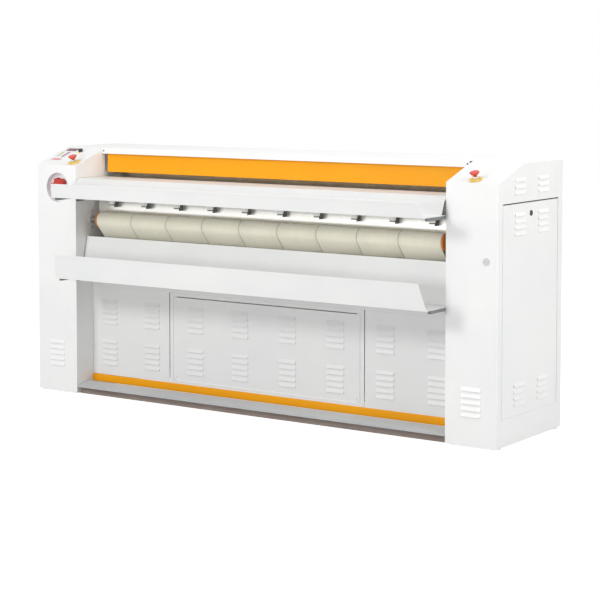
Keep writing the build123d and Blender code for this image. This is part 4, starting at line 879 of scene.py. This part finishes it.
lid_outline = oblong((-0.032, 0.032), (0.0765, lid_top))
lid_ends = (motor_back - 0.152, motor_back - 0.078)
lid_screw_half, lid_screw_ends = 0.026, (motor_back - 0.146, motor_back - 0.084)
gear_cover = [(0.048, -0.001), (0.048, 0.004), (0.046, 0.006), (0.022, 0.006), (0.020, 0.009),
              (0, 0.009)]
gear_screw_count, gear_screw_circle, gear_screw_face = 6, 0.038, 0.006
body = bmesh.new()
for i in range(rib_count):
    angle = 2 * pi * i / rib_count
    out = Vector((cos(angle), sin(angle)))
    side = Vector((-sin(angle), cos(angle))) * rib_half
    outline = [tuple(out * reach + side * way) for reach, way in rib_profile]
    prism(body, outline, *rib_ends, motor_axis)
turned(body, [(radius, motor_back + y) for radius, y in cowl], motor_axis, 48)
prism(body, box_outline, *box_ends, motor_axis)
prism(body, lid_outline, *lid_ends, motor_axis)
turned(body, gear_cover, gear_face, 48)
show("motor_body", body, aluminium, "frame")
screws = bmesh.new()
for i in range(gear_screw_count):
    angle = pi / 6 + pi / 3 * i
    spot = gear_face @ Vector((gear_screw_circle * cos(angle), gear_screw_circle * sin(angle),
                               gear_screw_face))
    pan_head(screws, facing(spot, (1, 0, 0)), radius=0.004, height=0.003)
for x in (-lid_screw_half, lid_screw_half):
    for y in lid_screw_ends:
        spot = motor_axis @ Vector((x, lid_top, y))
        pan_head(screws, facing(spot, (0, 0, 1), (0, 1, 0)), radius=0.003, height=0.002)
show("motor_screws", screws, plating, "frame")

# ---- Exhaust fan and cable gland -----------------------------------------------------------------
# A radial fan behind the lower panels blows the moist air out of a spigot at the back, beside it
# the gland for the supply cable. Housing and impeller galvanised, motor cast, gland polyamide.
dress(zinc, "fan_housing", "fan_impeller")
dress(aluminium, "fan_motor")
dress(black_plastic, "cable_gland")

# ---- Electrics -----------------------------------------------------------------------------------
# A mounting plate on four posts in the left column, with five contactors. Galvanised plate,
# contactors of black moulded plastic, snapped on.
dress(zinc, "electrics_plate")
dark_polyamide = moulded_plastic("dark_grey_polyamide", "#2E3033", "#393B3E", 0.45)
dress(dark_polyamide, "contactors")
contactor_low, contactor_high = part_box("contactors")
contactor_z = (contactor_low.z + contactor_high.z) / 2
contactor_count, contactor_start, contactor_pitch = 5, 0.0225, 0.053
front_steps = ((oblong((-0.019, 0.019), (-0.020, 0.020)), -0.001, 0.007),       # outline, from, to
               (oblong((-0.006, 0.006), (-0.008, 0.008)), 0.0065, 0.0105))
clamp_spots = [(across, rise) for across in (-0.014, 0, 0.014) for rise in (-0.034, 0.034)]
fronts = bmesh.new()
places = []
for i in range(contactor_count):
    y = contactor_low.y + contactor_start + i * contactor_pitch
    face = facing((contactor_low.x, y, contactor_z), (-1, 0, 0))
    for outline, low, high in front_steps:
        prism(fronts, outline, low, high, face)
    places += [facing(face @ Vector((across, rise, 0)), (-1, 0, 0)) for across, rise in clamp_spots]
show("contactor_fronts", fronts, dark_polyamide, "frame", smooth=False)
show_screws("contactor_clamps", places, plating, radius=0.0042, height=0.0022)

# ---- Camera, light and floor ---------------------------------------------------------------------
# A lens of medium length at the photograph's place, soft lamps above, behind, to the right and two
# in front, and a floor that is seen white like its surround and keeps the machine's shadow.
scene = bpy.context.scene
scene.view_settings.view_transform = "Standard"
look_down, look_left = 3.78, 34.402         # degrees
camera = bpy.data.objects.new("camera", bpy.data.cameras.new("camera"))
scene.collection.objects.link(camera)
camera.location = (4.9428, -7.0119, 1.6681)
camera.rotation_euler = (radians(90 - look_down), 0, radians(look_left))
camera.data.sensor_width = 36
camera.data.lens = 108.67
camera.data.shift_y = -0.2
camera.data.clip_end = 60
scene.camera = camera


def seen_directly(tree):
    """One for what the camera, a reflection or a clear piece shows, and zero for light."""
    path = add_node(tree, "ShaderNodeLightPath")
    seen = path.outputs["Is Camera Ray"]
    for ray in ("Is Glossy Ray", "Is Transmission Ray"):
        seen = add_node(tree, "ShaderNodeMath", {0: seen, 1: path.outputs[ray]},
                        operation="MAXIMUM").outputs[0]
    return seen


floor_half = 14.0
floor_drop = 0.0005         # below the feet
floor_glow = 0.83           # seen on top of the lit paint
floor_shape = bmesh.new()
bmesh.ops.create_grid(floor_shape, x_segments=8, y_segments=8, size=floor_half)
floor_mesh = bpy.data.meshes.new("floor")
floor_shape.to_mesh(floor_mesh)
floor_shape.free()
floor = bpy.data.objects.new("floor", floor_mesh)
scene.collection.objects.link(floor)
floor.location.z = -floor_drop
floor_paint = bpy.data.materials.new("white_floor_paint")
floor_paint.use_nodes = True
tree = floor_paint.node_tree
tree.nodes.clear()
diffuse = add_node(tree, "ShaderNodeBsdfDiffuse", {"Color": linear("#B8B8B8")})
level = add_node(tree, "ShaderNodeMath", {0: seen_directly(tree), 1: floor_glow},
                 operation="MULTIPLY")
glow = add_node(tree, "ShaderNodeEmission", {"Strength": level.outputs[0]})
both = add_node(tree, "ShaderNodeAddShader", {0: diffuse.outputs[0], 1: glow.outputs[0]})
add_node(tree, "ShaderNodeOutputMaterial", {"Surface": both.outputs[0]})
floor.data.materials.append(floor_paint)

surround_light = 0.40       # what the surround gives, where it is seen as 1
world = bpy.data.worlds.new("surround")
scene.world = world
world.use_nodes = True
tree = world.node_tree
tree.nodes.clear()
strength = add_node(tree, "ShaderNodeMapRange",
                    {"Value": seen_directly(tree), "To Min": surround_light, "To Max": 1.0})
sky = add_node(tree, "ShaderNodeBackground", {"Color": (1.0, 1.0, 1.0, 1.0),
                                              "Strength": strength.outputs["Result"]})
add_node(tree, "ShaderNodeOutputWorld", {"Surface": sky.outputs[0]})


def soft_lamp(name, place, target, size, power):
    """A square soft box that looks at a target."""
    lamp = bpy.data.lights.new(name, "AREA")
    lamp.size = size
    lamp.energy = power
    holder = bpy.data.objects.new(name, lamp)
    scene.collection.objects.link(holder)
    holder.location = place
    holder.rotation_euler = (Vector(target) - Vector(place)).to_track_quat("-Z", "Y").to_euler()


soft_lamp("top_light", (0.3, -0.4, 4.2), (0, 0, 0.6), size=3.0, power=38)
soft_lamp("right_light", (5.0, -0.4, 2.4), (0.8, 0, 0.7), size=2.6, power=105)
soft_lamp("front_light", (-1.7, -4.9, 3.5), (-0.1, 0, 0.7), size=1.2, power=112)
soft_lamp("back_light", (1.0, 5.6, 3.0), (0, 0, 0.7), size=3.0, power=120)
soft_lamp("low_light", (0.2, -6.8, 1.15), (0, 0, 0.9), size=1.6, power=122)
